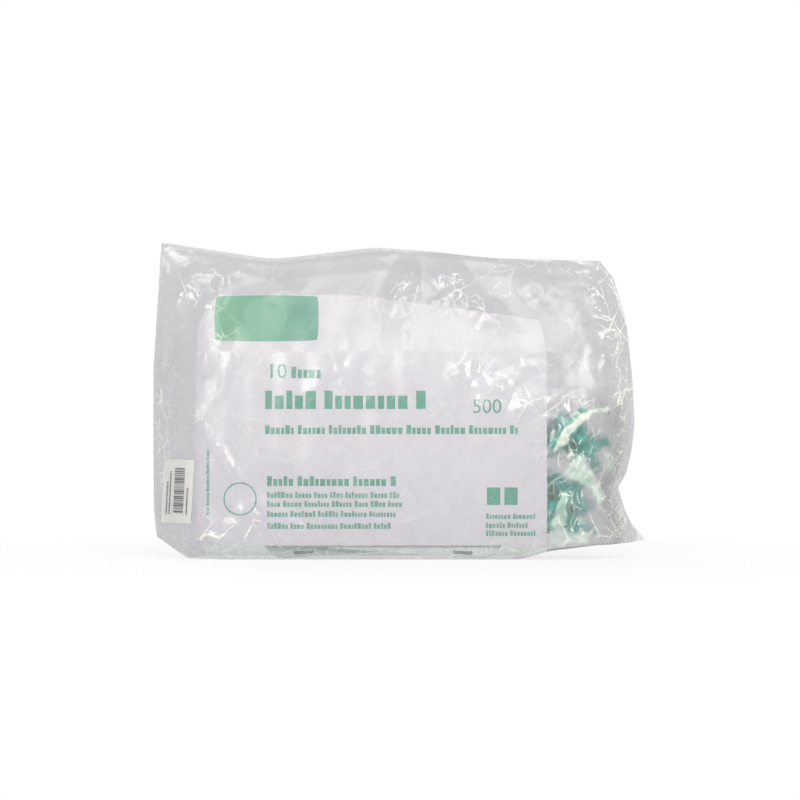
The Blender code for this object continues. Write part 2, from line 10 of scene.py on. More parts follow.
import bmesh
import bpy
import numpy as np
from bpy.props import FloatProperty, FloatVectorProperty, PointerProperty
from mathutils import Matrix, Vector, noise


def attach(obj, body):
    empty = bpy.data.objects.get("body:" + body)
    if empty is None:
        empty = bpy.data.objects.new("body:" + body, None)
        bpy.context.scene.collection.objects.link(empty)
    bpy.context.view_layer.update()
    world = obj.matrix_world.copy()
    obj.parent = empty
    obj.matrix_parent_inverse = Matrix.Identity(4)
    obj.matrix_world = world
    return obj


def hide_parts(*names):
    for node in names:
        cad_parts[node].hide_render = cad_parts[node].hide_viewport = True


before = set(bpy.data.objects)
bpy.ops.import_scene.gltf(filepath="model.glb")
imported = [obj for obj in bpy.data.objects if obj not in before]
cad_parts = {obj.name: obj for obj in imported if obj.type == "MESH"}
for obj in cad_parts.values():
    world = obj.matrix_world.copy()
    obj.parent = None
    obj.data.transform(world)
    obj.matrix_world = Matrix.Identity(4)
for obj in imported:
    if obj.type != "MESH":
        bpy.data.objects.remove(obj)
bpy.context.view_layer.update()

bl_info = {
    "name": "Leg Bag Pack",
    "version": (1, 0, 0),
    "blender": (4, 5, 0),
    "location": "View3D > Sidebar > Leg Bag Pack",
    "description": "Builds the clear film pack of ten leg bags round its packed model",
    "category": "Add Mesh",
}

# The pack and its bags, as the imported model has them
LEFT = -0.150
SEAM_RIGHT = 0.1415
EAR_REACH = 0.0085
PACK_WIDTH = 0.300
PACK_HEIGHT = 0.191985
HALF_DEPTH = 0.0302
CORNER_RISE = 0.0015
BOTTOM_FLAT = 0.97
CRUMPLE_DEPTH = 0.0040
CRUMPLE_SIZE = 0.030
CRUMPLE_SEED = 11.3
VENT_X = -0.0562
VENT_Z = 0.1345
VENT_RADIUS = 0.003
BAG_COUNT = 10
BAG_LENGTH = 0.152
BAG_HEIGHT = 0.116
BAG_CORNER = 0.014
BAG_PITCH = 0.0050
BAG_TILT = math.radians(4.0)
BAG_FAN = math.radians(0.6)
BAG_MIDDLE = -0.010
BAG_CENTRE = 0.062768
BAGS_TOP = 0.124985
WELD_WIDTH = 0.006
WELD_HALF = 0.00045
PILLOW_HALF = 0.0020
SHOULDER = 0.015
BEAD_HEIGHT = 0.00022
BEAD_OUT = 0.0012
BEAD_REACH = 0.0011
RIM_SOFT = 0.0006
SLOT_X = 0.052
SLOT_Z = 0.055
SLOT_SIZE = (0.012, 0.006, 0.0025)
SLOT_CORNER = 0.0011
TUBE_RADIUS = 0.0032
TUBE_WELD_DEPTH = 0.010
TUBE_STRAIGHT = 0.002
TUBE_BEND = 0.42
STUB_LENGTH = 0.0065
SEAT_ON_STUB = 0.0018
SOCKET_DEPTH = 0.0052
SOCKET_RADIUS = 0.0038
COLLAR_RADIUS = 0.0046
COLLAR_LENGTH = 0.0065
CONNECTOR_LENGTH = 0.029
CONNECTOR_NECK = 0.0034
CONNECTOR_TIP = 0.0024
CONNECTOR_BORE = 0.0014
CAP_CLEARANCE = 0.0005
CAP_WALL = 0.0007
CAP_TOP = 0.0012
RING_RADIUS = 0.0043
TAP_LENGTH = 0.032
BARREL_RADIUS = 0.0035
NOZZLE_RADIUS = 0.0030
NOZZLE_TIP = 0.0025
NOZZLE_LENGTH = 0.0085
FLOW_BORE = 0.0016
HOUSING_RADIUS = 0.0044
HOUSING_LENGTH = 0.0125
HOUSING_FROM_INLET = 0.0165
SLIDE_RADIUS = 0.0024
SLIDE_BORE = 0.0028
SLIDE_KNOB_RADIUS = 0.0037
SLIDE_KNOB_LENGTH = 0.0022
SLIDE_TRAVEL = 0.0045
SLIDE_STOP_GAP = 0.0004
TAP_POSES = (
    (0.018, -0.016, -78.0, 1),
    (0.024, 0.005, 46.0, 1),
    (0.026, -0.013, -42.0, -1),
    (0.043, 0.019, -68.0, -1),
    (0.026, -0.0335, -25.0, -1),
    (0.024, 0.009, 2.0, 1),
    (0.026, -0.019, -25.0, 1),
    (0.024, 0.011, -8.0, -1),
    (0.018, -0.015, -60.0, 1),
    (0.012, 0.009, -10.0, -1),
)
SHEET_LEFT = -0.1214
SHEET_WIDTH = 0.210
SHEET_HEIGHT = 0.148
SHEET_BOTTOM = 0.0085
SHEET_RISE_LEFT = 0.0030
SHEET_FALL_RIGHT = 0.0095
SHEET_THICKNESS = 0.0003
SHEET_SIDE_BOW = 0.0015
SHEET_CORNERS = ((0.0115, 0.030, 2.6), (0.0040, 0.024, 1.6))
SHEET_TOP = (
    (0.0, 0.0005), (0.10, 0.0020), (0.25, 0.0036), (0.43, 0.0056), (0.55, 0.0042), (0.70, 0.0020),
    (0.90, -0.0012), (1.0, -0.0028),
)
LABEL_LEFT = -0.1447
LABEL_BOTTOM = 0.0216
LABEL_WIDTH = 0.0192
LABEL_HEIGHT = 0.0384
LABEL_LEAN = 0.0022
LABEL_THICKNESS = 0.0003
LABEL_LIFT = 0.0003
LABEL_SOFT = 0.006
INK_LIFT = 0.00008

# Outline of the film from the front, as in the model: shares of height or width, distances
LEFT_EDGE = (
    (0.0, 0.0105), (0.03, 0.0062), (0.069, 0.0019), (0.156, 0.0003), (0.35, 0.0), (0.60, 0.0),
    (1.0, 0.0049),
)
RIGHT_EDGE = (
    (0.056, -0.0085), (0.105, 0.0), (0.150, 0.0040), (0.224, 0.0084), (0.262, 0.0036),
    (0.340, 0.0), (0.420, -0.0018), (0.560, -0.0006), (0.740, 0.0030), (0.885, 0.0108),
    (0.942, 0.0198),
)
TOP_EDGE = (
    (0.0, 0.0), (0.25, 0.0102), (0.475, 0.0030), (0.57, 0.0048), (0.74, 0.0096), (1.0, 0.0114),
)
BOTTOM_EDGE = (
    (0.0, 0.0132), (0.037, 0.0), (0.735, 0.0), (0.80, 0.0052), (0.89, 0.0080), (0.965, 0.0090),
    (1.0, 0.0108),
)

# How full the pack is: up to 1.0 on the bags and from there to 2.0 at the top seam
FULLNESS_UP = (
    (0.0, 0.915), (0.012, 0.94), (0.05, 0.975), (0.24, 1.0), (0.52, 0.985), (0.80, 0.91),
    (1.0, 0.78), (1.20, 0.62), (1.45, 0.38), (1.70, 0.19), (1.93, 0.03), (2.0, 0.0),
)
FULLNESS_LEFT = ((0.003, 0.0), (0.012, 0.40), (0.019, 0.70), (0.029, 0.955), (0.040, 1.0))
FULLNESS_RIGHT = (
    (0.003, 0.0), (0.007, 0.29), (0.012, 0.54), (0.020, 0.72), (0.029, 0.87), (0.045, 1.0),
)

# Folds of the front film: start x and z, end x and z, height and half width
FRONT_FOLDS = (
    (0.008, 0.1790, -0.003, 0.1540, 0.0052, 0.010),
    (-0.001, 0.1540, 0.004, 0.1020, 0.0014, 0.012),
    (0.0237, 0.1872, 0.0405, 0.1650, 0.0034, 0.008),
    (0.0261, 0.1716, 0.0651, 0.1362, 0.0036, 0.010),
    (-0.1030, 0.1800, -0.1131, 0.1560, 0.0026, 0.006),
    (-0.0975, 0.1746, -0.1060, 0.1690, 0.0016, 0.004),
    (-0.1330, 0.1860, -0.0990, 0.1760, 0.0018, 0.009),
    (-0.1250, 0.1740, -0.1060, 0.1790, 0.0018, 0.007),
    (-0.0900, 0.1560, -0.0600, 0.1640, 0.0018, 0.009),
    (-0.1180, 0.1480, -0.1150, 0.1180, 0.0016, 0.008),
    (0.0963, 0.1812, 0.1203, 0.1620, 0.0034, 0.009),
    (0.1143, 0.1788, 0.1270, 0.1560, 0.0028, 0.008),
    (0.0723, 0.1788, 0.0891, 0.1560, 0.0024, 0.010),
    (0.0921, 0.0648, 0.1023, 0.0804, 0.0024, 0.006),
    (0.1023, 0.0804, 0.1101, 0.0882, 0.0026, 0.006),
    (0.1101, 0.0882, 0.1233, 0.0918, 0.0026, 0.006),
    (0.1155, 0.0822, 0.1095, 0.0660, 0.0016, 0.004),
    (0.1100, 0.0850, 0.1203, 0.0660, 0.0014, 0.004),
    (0.1203, 0.0660, 0.1251, 0.0540, 0.0014, 0.004),
    (0.1095, 0.0660, 0.0981, 0.0522, 0.0022, 0.006),
    (0.1095, 0.0660, 0.1203, 0.0438, 0.0020, 0.006),
    (0.1203, 0.0438, 0.1257, 0.0342, 0.0018, 0.006),
    (0.0981, 0.0522, 0.1155, 0.0420, 0.0018, 0.005),
    (0.1155, 0.0420, 0.1245, 0.0330, 0.0016, 0.005),
    (0.0999, 0.0402, 0.0909, 0.0192, 0.0018, 0.005),
    (0.1029, 0.0378, 0.1053, 0.0210, 0.0016, 0.005),
    (0.0890, 0.0180, 0.1140, 0.0150, 0.0014, 0.006),
    (0.1203, 0.1056, 0.1311, 0.1068, 0.0016, 0.006),
    (0.1311, 0.1068, 0.1359, 0.1008, 0.0012, 0.004),
    (-0.1167, 0.0270, -0.0987, 0.0120, 0.0016, 0.007),
    (-0.0957, 0.0240, -0.0657, 0.0288, 0.0014, 0.007),
    (-0.0837, 0.0090, -0.0597, 0.0150, 0.0014, 0.006),
    (-0.1370, 0.1560, -0.1340, 0.0660, 0.0014, 0.007),
    (-0.1180, 0.0110, -0.0650, 0.0150, 0.0030, 0.013),
    (-0.0790, 0.0280, -0.0660, 0.0150, 0.0026, 0.010),
    (-0.1220, 0.0900, -0.0980, 0.0480, 0.0014, 0.006),
    (-0.0990, 0.1350, -0.1100, 0.0960, 0.0014, 0.007),
)
BACK_FOLDS = (
    (-0.090, 0.184, -0.060, 0.150, 0.0050, 0.012),
    (-0.010, 0.186, 0.030, 0.150, 0.0045, 0.012),
    (0.030, 0.150, 0.034, 0.110, 0.0026, 0.012),
    (0.080, 0.180, 0.112, 0.150, 0.0040, 0.012),
    (-0.130, 0.180, -0.110, 0.120, 0.0026, 0.010),
    (0.100, 0.090, 0.128, 0.060, 0.0022, 0.008),
    (0.090, 0.040, 0.120, 0.020, 0.0022, 0.008),
    (-0.120, 0.030, -0.060, 0.010, 0.0018, 0.008),
)

# Crushed places of the front film: start x and z, end x and z, reach and strength
CRUSHED = (
    (-0.1407, 0.1860, -0.1005, 0.1728, 0.0075, 0.60),
    (-0.1113, 0.1632, -0.1029, 0.1788, 0.0045, 0.85),
    (-0.1383, 0.1500, -0.1400, 0.0900, 0.0060, 0.35),
    (-0.1167, 0.1560, -0.1017, 0.1290, 0.0070, 0.45),
    (-0.0027, 0.1608, 0.0033, 0.1752, 0.0050, 0.80),
    (0.0033, 0.1668, 0.0243, 0.1560, 0.0060, 0.70),
    (0.0033, 0.1560, 0.0075, 0.0960, 0.0040, 0.45),
    (0.0243, 0.1872, 0.0411, 0.1656, 0.0035, 0.90),
    (0.0261, 0.1692, 0.0603, 0.1464, 0.0055, 0.90),
    (0.0813, 0.1812, 0.1275, 0.1752, 0.0065, 0.85),
    (0.0843, 0.1620, 0.1203, 0.1320, 0.0080, 0.40),
    (0.1203, 0.1728, 0.1293, 0.1380, 0.0085, 1.00),
    (0.1293, 0.1380, 0.1371, 0.0900, 0.0085, 1.00),
    (0.0513, 0.0990, 0.0873, 0.1200, 0.0085, 0.60),
    (0.0940, 0.0900, 0.1200, 0.0880, 0.0080, 0.90),
    (0.1060, 0.0760, 0.1130, 0.0200, 0.0180, 1.00),
    (0.1330, 0.0480, 0.1420, 0.0120, 0.0060, 0.80),
    (-0.1190, 0.0170, -0.0640, 0.0170, 0.0050, 1.00),
    (-0.0860, 0.0260, -0.0680, 0.0150, 0.0080, 1.00),
    (-0.1240, 0.0900, -0.0960, 0.0480, 0.0030, 0.70),
    (-0.1480, 0.1000, -0.1430, 0.0500, 0.0050, 0.80),
    (-0.1450, 0.1700, -0.1200, 0.1560, 0.0060, 0.90),
    (-0.0560, 0.1000, -0.0300, 0.1260, 0.0080, 0.45),
    (0.0420, 0.1120, 0.0740, 0.0960, 0.0100, 0.80),
    (-0.1160, 0.1180, -0.0980, 0.1440, 0.0060, 0.60),
)

# Patches where the front film is painted as if folded double: over the taps, a painted cream
# glare with the taps' green painted onto the film, and in the strip under the insert, painted
# light over the shade on the bags' bottoms: how milky (1 is full, and up to 1.25 is more opaque), outline
# in x and z
DOUBLED_GLARE = (
    (1.00, ((0.1091, 0.0652), (0.0985, 0.0537), (0.0995, 0.0511), (0.1142, 0.0428),
            (0.1200, 0.0332), (0.1245, 0.0364), (0.1193, 0.0466), (0.1155, 0.0524),
            (0.1117, 0.0614))),
    (0.90, ((0.0969, 0.0389), (0.1001, 0.0409), (0.1030, 0.0383), (0.0998, 0.0344),
            (0.1007, 0.0203), (0.0905, 0.0203), (0.0921, 0.0248), (0.0943, 0.0332))),
    (0.60, ((0.1084, 0.0268), (0.1117, 0.0242), (0.1129, 0.0210), (0.1065, 0.0203))),
    (0.55, ((0.0892, 0.0184), (0.0975, 0.0197), (0.1040, 0.0160), (0.1150, 0.0170),
            (0.1140, 0.0100), (0.0895, 0.0085))),
    (0.40, ((-0.1180, 0.0092), (-0.0270, 0.0086), (0.0100, 0.0066), (0.0300, 0.0074),
            (0.0850, 0.0090), (0.0860, 0.0030), (0.0300, 0.0016), (-0.0100, 0.0050),
            (-0.0270, 0.0016), (-0.1180, 0.0016))),
    (1.25, ((0.0914, 0.0646), (0.0950, 0.0742), (0.1039, 0.0845), (0.1142, 0.0909),
            (0.1257, 0.0922), (0.1277, 0.0889), (0.1193, 0.0896), (0.1129, 0.0838),
            (0.1071, 0.0793), (0.1027, 0.0742), (0.0995, 0.0684))),
    (0.40, ((0.1213, 0.0691), (0.1257, 0.0640), (0.1309, 0.0601), (0.1309, 0.0486),
            (0.1251, 0.0530), (0.1219, 0.0601))),
)

# Where the film is slack, and the size and height of its crumples by kind
LOOSE_UNDER_TOP = 0.012
LOOSE_RISE = 0.03
LOOSE_RIGHT = 0.086
LOOSE_LEFT = -0.112
LOOSE_SOFT = 0.012
FACET_SIZE = 0.038
FACET_LOOSE = 0.0009
FACET_TAUT = 0.0003
CELL_SIZE = 0.020
CELL_LEAST = 0.0003
CELL_CRUSHED = 0.0024
FINE_CELL_SIZE = 0.009
FINE_CELL_CRUSHED = 0.0011
WAVE_SIZE = 0.030
WAVE_TAUT = 0.0004
GATHER_REACH = 0.014
GATHER_HEIGHT = 0.0009
RIPPLE_LENGTH = 0.0038
FOLD_WANDER = 0.0016
OUTLINE_WANDER = 0.0007
DOUBLED_GLARE_SOFT = 0.0016

# Where the film is welded, stippled or cloudy, how soft those edges are, and the names of
# the values that carry this to its material
WELD_IN = 0.0030
WELD_SOFT = 0.0012
BAND_IN = 0.0085
BAND_SOFT = 0.0075
CLOUDY_TOP = 0.101
CLOUDY_SOFT = 0.008
SHEET_EDGE_SOFT = 0.0008
EDGE_SOFT = 0.004
FILM_ROOM = 0.0012
FILM_FIELDS = ("weld", "band", "crushed", "doubled_glare", "cloudy")

# Where the printed block's colour runs from and to, in x, and its pale end
BLOCK_RUN = (-0.1119, -0.0489)
BLOCK_PALE = (0.22, 0.60, 0.36)

# Fineness of the film, the sheets and the round pieces
FILM_COLUMNS = 250
FILM_ROWS = 158
FOOT_ROWS = 14
SHEET_CELLS = (84, 60)
LABEL_CELLS = (14, 24)
BLOCK_CELLS = (40, 20)
BAG_CELLS = (64, 50)
SHEET_GAP = 0.0011
DECAL_LIFT = 0.00012
ROUND_SIDES = 40
ROUND_SHARP = 50.0
TUBE_POINTS = 28
MERGE = 0.000004

# Places on the printed insert, read off the photo in its pixels, turned into metres
PIXEL = 0.0006
PIXEL_MIDDLE = 399.5
PIXEL_FLOOR = 560.0

# Stage: size of its floor and backdrop, where the backdrop and the camera stand and aim, and
# the width of the camera's sensor in mm
STAGE_REACH = 3.0
BACKDROP_PLACE = (0.0, 2.2, 1.5)
AIM = (0.0, 0.0, 0.096)
CAMERA_X = 0.0003
SENSOR_WIDTH = 36.0

# The light of the room, which the camera sees as white, and the lamps: place, width, share
# of the power and colour
ROOM_LIGHT = 0.46
WARM_WHITE = (1.0, 0.985, 0.93)
LAMPS = (
    ("key_lamp", (-0.55, -1.45, 0.66), 0.50, 0.9, WARM_WHITE),
    ("over_lamp", (0.25, -1.20, 1.15), 0.80, 0.85, WARM_WHITE),
    ("side_lamp", (1.05, -1.35, 0.55), 0.45, 0.86, (1.0, 0.985, 0.90)),
    ("back_lamp", (-0.60, 1.30, 0.80), 0.60, 0.90, (1.0, 1.0, 1.0)),
)


# Film shape


def unit(value):
    """A value kept from 0 to 1."""
    return np.clip(value, 0.0, 1.0)


def from_line(x, z, start_x, start_z, end_x, end_z):
    """How far along a straight line places lie, as a share, and how far off it."""
    run_x, run_z = end_x - start_x, end_z - start_z
    share = unit(((x - start_x) * run_x + (z - start_z) * run_z) / (run_x ** 2 + run_z ** 2))
    return share, np.hypot(x - start_x - share * run_x, z - start_z - share * run_z)


def eased(table, place, reach):
    """The value at a place on a table's straight runs, rounded at its bends over a reach."""
    places, values = zip(*table)
    steps = (-1.0, -0.75, -0.5, -0.25, 0.0, 0.25, 0.5, 0.75, 1.0)
    return sum(np.interp(place + reach * step, places, values) for step in steps) / len(steps)


def left_edge(z):
    return LEFT + eased(LEFT_EDGE, z / PACK_HEIGHT, 0.012)


def right_edge(z):
    return SEAM_RIGHT - eased(RIGHT_EDGE, z / PACK_HEIGHT, 0.010)


def top_edge(x):
    return PACK_HEIGHT - eased(TOP_EDGE, (x - LEFT) / PACK_WIDTH, 0.03)


def bottom_edge(x):
    return eased(BOTTOM_EDGE, (x - LEFT) / PACK_WIDTH, 0.008)


def from_seam(x, z, right):
    """How far places are from the nearest seam at the left, the top, or the given right."""
    return np.minimum(np.minimum(x - left_edge(z), right - x), top_edge(x) - z)


def drift(x, z, size, seed, waves=14):
    """A smooth field of hills and hollows about that size, from about -1 to 1."""
    draw = np.random.default_rng(seed)
    total = 0.0
    for _ in range(waves):
        angle = draw.uniform(0.0, 2.0 * math.pi)
        length = size * draw.uniform(0.7, 1.8)
        phase = draw.uniform(0.0, 2.0 * math.pi)
        run = (x * math.cos(angle) + z * math.sin(angle)) / length
        total = total + np.cos(2.0 * math.pi * run + phase)
    return total / math.sqrt(waves / 2.0) / 1.6


def facets(x, z, size, seed, waves=8):
    """Crumpled film: flat facets that meet in sharp creases, from 0 to about 1."""
    draw = np.random.default_rng(seed)
    total = 0.0
    for wave in range(waves):
        angle = draw.uniform(0.0, 2.0 * math.pi)
        length = size * draw.uniform(0.6, 1.7)
        phase = draw.uniform(0.0, 1.0)
        bend = 0.30 * drift(x, z, size * 2.6, seed + 7 * wave + 1, 6)
        run = (x * math.cos(angle) + z * math.sin(angle)) / length + phase + bend
        ridge = np.abs(run % 1.0 - 0.5) * 2.0
        place = unit(0.35 + 0.9 * drift(x, z, size * 2.0, seed + 7 * wave + 3, 6))
        total = total + ridge ** 1.3 * place * length / size
    return total / (0.45 * waves)


def cells(x, z, size, seed, turn=0.6, stretch=1.5):
    """Crushed film: cells that rise to a point and meet in sharp valleys, from 0 to about 1."""
    draw = np.random.default_rng(seed)
    bent_x = x + 0.35 * size * drift(x, z, size * 2.4, seed + 1, 6)
    bent_z = z + 0.35 * size * drift(x, z, size * 2.4, seed + 2, 6)
    along = (bent_x * math.cos(turn) + bent_z * math.sin(turn)) / stretch
    beside = bent_z * math.cos(turn) - bent_x * math.sin(turn)
    reach = 0.26
    count = int((2.0 * reach / size) ** 2 / stretch)
    nearest = np.full(np.shape(x), 9.0)
    second = np.full(np.shape(x), 9.0)
    for _ in range(count):
        away = np.hypot(
            along - draw.uniform(-reach, reach) / stretch, beside - draw.uniform(-reach, reach),
        )
        second = np.minimum(second, np.maximum(nearest, away))
        nearest = np.minimum(nearest, away)
    return np.clip((second - nearest) / size, 0.0, 1.2)


def fold_height(folds, x, z):
    """How far the named folds stand out of the film."""
    height = np.zeros_like(x)
    x = x + FOLD_WANDER * drift(x, z, 0.016, 81, 8)
    z = z + FOLD_WANDER * drift(x, z, 0.016, 82, 8)
    for *line, depth, reach in folds:
        share, away = from_line(x, z, *line)
        depth = depth * (0.55 + 0.45 * np.sin(math.pi * share))
        height = np.maximum(height, depth * unit(1.0 - away / (1.15 * reach)) ** 1.4)
    return height


def crushed(x, z):
    """How crushed the front film is at a place, from 0 to 1."""
    most = np.zeros_like(x)
    for *line, reach, strength in CRUSHED:
        away = from_line(x, z, *line)[1]
        most = np.maximum(most, strength * unit(1.6 - away / reach))
    return most


def doubled_glare(x, z):
    """How milky the front film is in the patches painted as folded double: painted glare over the taps and
    painted light in the strip under the insert, with a soft edge.
    """
    most = np.zeros_like(x)
    wavy_x = x + OUTLINE_WANDER * drift(x, z, 0.007, 71, 8)
    wavy_z = z + OUTLINE_WANDER * drift(x, z, 0.007, 72, 8)
    for strength, outline in DOUBLED_GLARE:
        inside = np.zeros_like(x, bool)
        nearest = np.full_like(x, 1.0)
        for (start_x, start_z), (end_x, end_z) in zip(outline, outline[1:] + outline[:1]):
            away = from_line(wavy_x, wavy_z, start_x, start_z, end_x, end_z)[1]
            nearest = np.minimum(nearest, away)
            crossing = (start_z > wavy_z) != (end_z > wavy_z)
            rise = end_z - start_z if end_z != start_z else 1.0
            inside ^= crossing & (wavy_x < start_x + (wavy_z - start_z) * (end_x - start_x) / rise)
        near_edge = unit(0.4 + nearest / DOUBLED_GLARE_SOFT)
        most = np.maximum(most, np.where(inside, strength * near_edge, 0.0))
    return most


def crumple(x, z, seed):
    """The slack film's broad crumples above the bags, as the model has them."""
    places = zip(np.ravel(x) / CRUMPLE_SIZE, np.ravel(z) / CRUMPLE_SIZE)
    values = [0.5 + 0.5 * noise.noise(Vector((place_x, place_z, seed))) for place_x, place_z in places]
    slack = unit((z - BAGS_TOP) / CRUMPLE_SIZE)
    return CRUMPLE_DEPTH * slack * np.reshape(values, np.shape(x))


def fullness(x, z):
    """How far the film stands out at a place, from 0 at a seam to 1."""
    top = top_edge(x)
    above = 1.0 + (z - BAGS_TOP) / (top - BAGS_TOP)
    upright = eased(FULLNESS_UP, np.where(z <= BAGS_TOP, z / BAGS_TOP, above), 0.13)
    from_left = x - left_edge(z)
    from_right = np.minimum(right_edge(z), SEAM_RIGHT) - x
    sides = eased(FULLNESS_LEFT, from_left, 0.007) * eased(FULLNESS_RIGHT, from_right, 0.005)
    return upright * sides * unit(from_seam(x, z, right_edge(z)) / EDGE_SOFT)


def plain_depth(x, z):
    return HALF_DEPTH * fullness(x, z)


def box_mask(x, z, left, right, low, high, soft):
    """1 in a box on the front and 0 away from it, with a soft edge."""
    across = unit(np.minimum(x - left, right - x) / soft + 1.0)
    return across * unit(np.minimum(z - low, high - z) / soft + 1.0)


def film_depth(side, x, z):
    """How far the film stands out from the middle, with its folds and crumples."""
    plain = plain_depth(x, z)
    seed = 20 if side < 0 else 60
    above = unit((z - BAGS_TOP + LOOSE_UNDER_TOP) / LOOSE_RISE)
    right = unit((x - LOOSE_RIGHT) / LOOSE_SOFT)
    left = unit((LOOSE_LEFT - x) / LOOSE_SOFT)
    loose = np.maximum(np.maximum(above, right), 0.7 * left)
    over_sheet = 1.0 - loose
    crush = crushed(x, z)
    if side > 0:
        crush = loose * unit(0.3 + drift(x, z, 0.06, seed + 9, 8))
    seam = from_seam(x, z, np.minimum(right_edge(z), SEAM_RIGHT))
    gathered = np.exp(-unit(seam) / GATHER_REACH)
    height = fold_height(FRONT_FOLDS if side < 0 else BACK_FOLDS, x, z)
    height = height + crumple(x, z, CRUMPLE_SEED if side < 0 else -CRUMPLE_SEED)
    facet_height = FACET_LOOSE * loose + FACET_TAUT * over_sheet
    height = height + facet_height * facets(x, z, FACET_SIZE, seed)
    height = height + (CELL_LEAST + CELL_CRUSHED * crush) * cells(x, z, CELL_SIZE, seed + 1)
    height = height + FINE_CELL_CRUSHED * crush * cells(x, z, FINE_CELL_SIZE, seed + 5, 1.8)
    height = height + WAVE_TAUT * over_sheet * drift(1.6 * x, 0.7 * z, WAVE_SIZE, seed + 6)
    ripple = np.abs(np.sin(z / RIPPLE_LENGTH + 2.2 * drift(x, z, 0.02, seed + 2)))
    uneven = 0.5 + 0.5 * drift(x, z, 0.016, seed + 3)
    height = height + GATHER_HEIGHT * gathered * ripple * uneven
    if side < 0:
        label = box_mask(
            x, z, LABEL_LEFT, LABEL_LEFT + LABEL_WIDTH + LABEL_LEAN, LABEL_BOTTOM,
            LABEL_BOTTOM + LABEL_HEIGHT, LABEL_SOFT,
        )
        height = height * (1.0 - label)
    rim = unit(plain / EDGE_SOFT)
    foot = unit(z / 0.006)
    return np.minimum(plain + rim * foot * height, HALF_DEPTH + FILM_ROOM)


def film_front(x, z):
    """Where the plain front film lies at places on the front, as y."""
    return -plain_depth(np.asarray(x, float), np.asarray(z, float))


# Meshes


def smoothed(mesh, sharp):
    mesh.shade_smooth()
    mesh.set_sharp_from_angle(angle=math.radians(sharp))
    return mesh


def mesh_of(name, bm, sharp=40.0):
    """The mesh of a bmesh, with smooth faces that stay sharp at its hard edges."""
    mesh = bpy.data.meshes.new(name)
    bm.to_mesh(mesh)
    bm.free()
    return smoothed(mesh, sharp)


def placed(name, data):
    """A new object in the scene."""
    item = bpy.data.objects.new(name, data)
    bpy.context.scene.collection.objects.link(item)
    return item


def piece(name, mesh, materials, body, slot, *nodes):
    """A finished piece in the scene, on its body, in place of its plain solids."""
    item = placed(name, mesh)
    mesh.materials.clear()
    for material in materials:
        mesh.materials.append(material)
    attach(item, body)
    if nodes:
        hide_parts(*nodes)


def baked(item):
    """The mesh of a helper object after its modifiers, with the object taken away."""
    bpy.context.view_layer.update()
    graph = bpy.context.evaluated_depsgraph_get()
    mesh = bpy.data.meshes.new_from_object(item.evaluated_get(graph))
    bpy.data.objects.remove(item, do_unlink=True)
    return mesh


def grid(bm, columns, rows, place):
    """A grid laid by the place that its shares across and up give."""
    made = bmesh.ops.create_grid(bm, x_segments=columns, y_segments=rows, size=0.5)
    for vertex in made["verts"]:
        vertex.co = place(vertex.co.x + 0.5, vertex.co.y + 0.5)


def closed_up(bm):
    """A bmesh with its meeting points merged and its faces turned outwards."""
    bmesh.ops.remove_doubles(bm, verts=bm.verts, dist=MERGE)
    bmesh.ops.recalc_face_normals(bm, faces=bm.faces)
    return bm


def soften(bm, edges, offset, segments):
    """Bevel edges in their own material."""
    bmesh.ops.bevel(
        bm, geom=edges, offset=offset, segments=segments, profile=0.5, affect="EDGES", material=-1,
    )


def combined(mesh, operation, others):
    """A mesh joined with others, or cut by them."""
    item = placed("work", mesh)
    cutters = []
    for other in others:
        cutter = placed("cutter", other)
        cutters.append(cutter)
        modifier = item.modifiers.new(operation.title(), "BOOLEAN")
        modifier.operation = operation
        modifier.solver = "EXACT"
        modifier.object = cutter
    mesh = baked(item)
    for cutter in cutters:
        bpy.data.objects.remove(cutter, do_unlink=True)
    return mesh


def rounded(points, radius):
    """A profile with its inner corners rounded by short curves."""
    result = [Vector(points[0])]
    for before, corner, after in zip(points, points[1:], points[2:]):
        corner = Vector(corner)
        back = Vector(before) - corner
        onward = Vector(after) - corner
        start = corner + back * min(0.45, radius / max(back.length, MERGE))
        end = corner + onward * min(0.45, radius / max(onward.length, MERGE))
        for share in (0.0, 0.33, 0.67, 1.0):
            rest = 1.0 - share
            result.append(start * rest ** 2 + corner * 2.0 * rest * share + end * share ** 2)
    return result + [Vector(points[-1])]


def lathe(profile, sides=ROUND_SIDES, radius=0.0003, closed=False):
    """A bmesh turned about Z from (radius, height) points, with its corners rounded."""
    points = rounded(profile + profile[:1], radius)[:-1] if closed else rounded(profile, radius)
    bm = bmesh.new()
    verts = [bm.verts.new((point[0], 0.0, point[1])) for point in points]
    pairs = list(zip(verts, verts[1:])) + ([(verts[-1], verts[0])] if closed else [])
    edges = [bm.edges.new(pair) for pair in pairs]
    bmesh.ops.spin(
        bm, geom=verts + edges, cent=(0.0, 0.0, 0.0), axis=(0.0, 0.0, 1.0), dvec=(0.0, 0.0, 0.0),
        angle=2.0 * math.pi, steps=sides, use_merge=True, use_normal_flip=False,
        use_duplicate=False,
    )
    return closed_up(bm)


def rod(radius, length, matrix, bevel=0.0003, sides=ROUND_SIDES):
    """A round bar about its own Z, with softened rims."""
    bm = bmesh.new()
    bmesh.ops.create_cone(
        bm, cap_ends=True, segments=sides, radius1=radius, radius2=radius, depth=length,
    )
    rims = [edge for edge in bm.edges if abs(edge.verts[0].co.z - edge.verts[1].co.z) < MERGE]
    soften(bm, rims, bevel, 2)
    bmesh.ops.transform(bm, matrix=matrix, verts=bm.verts)
    return bm


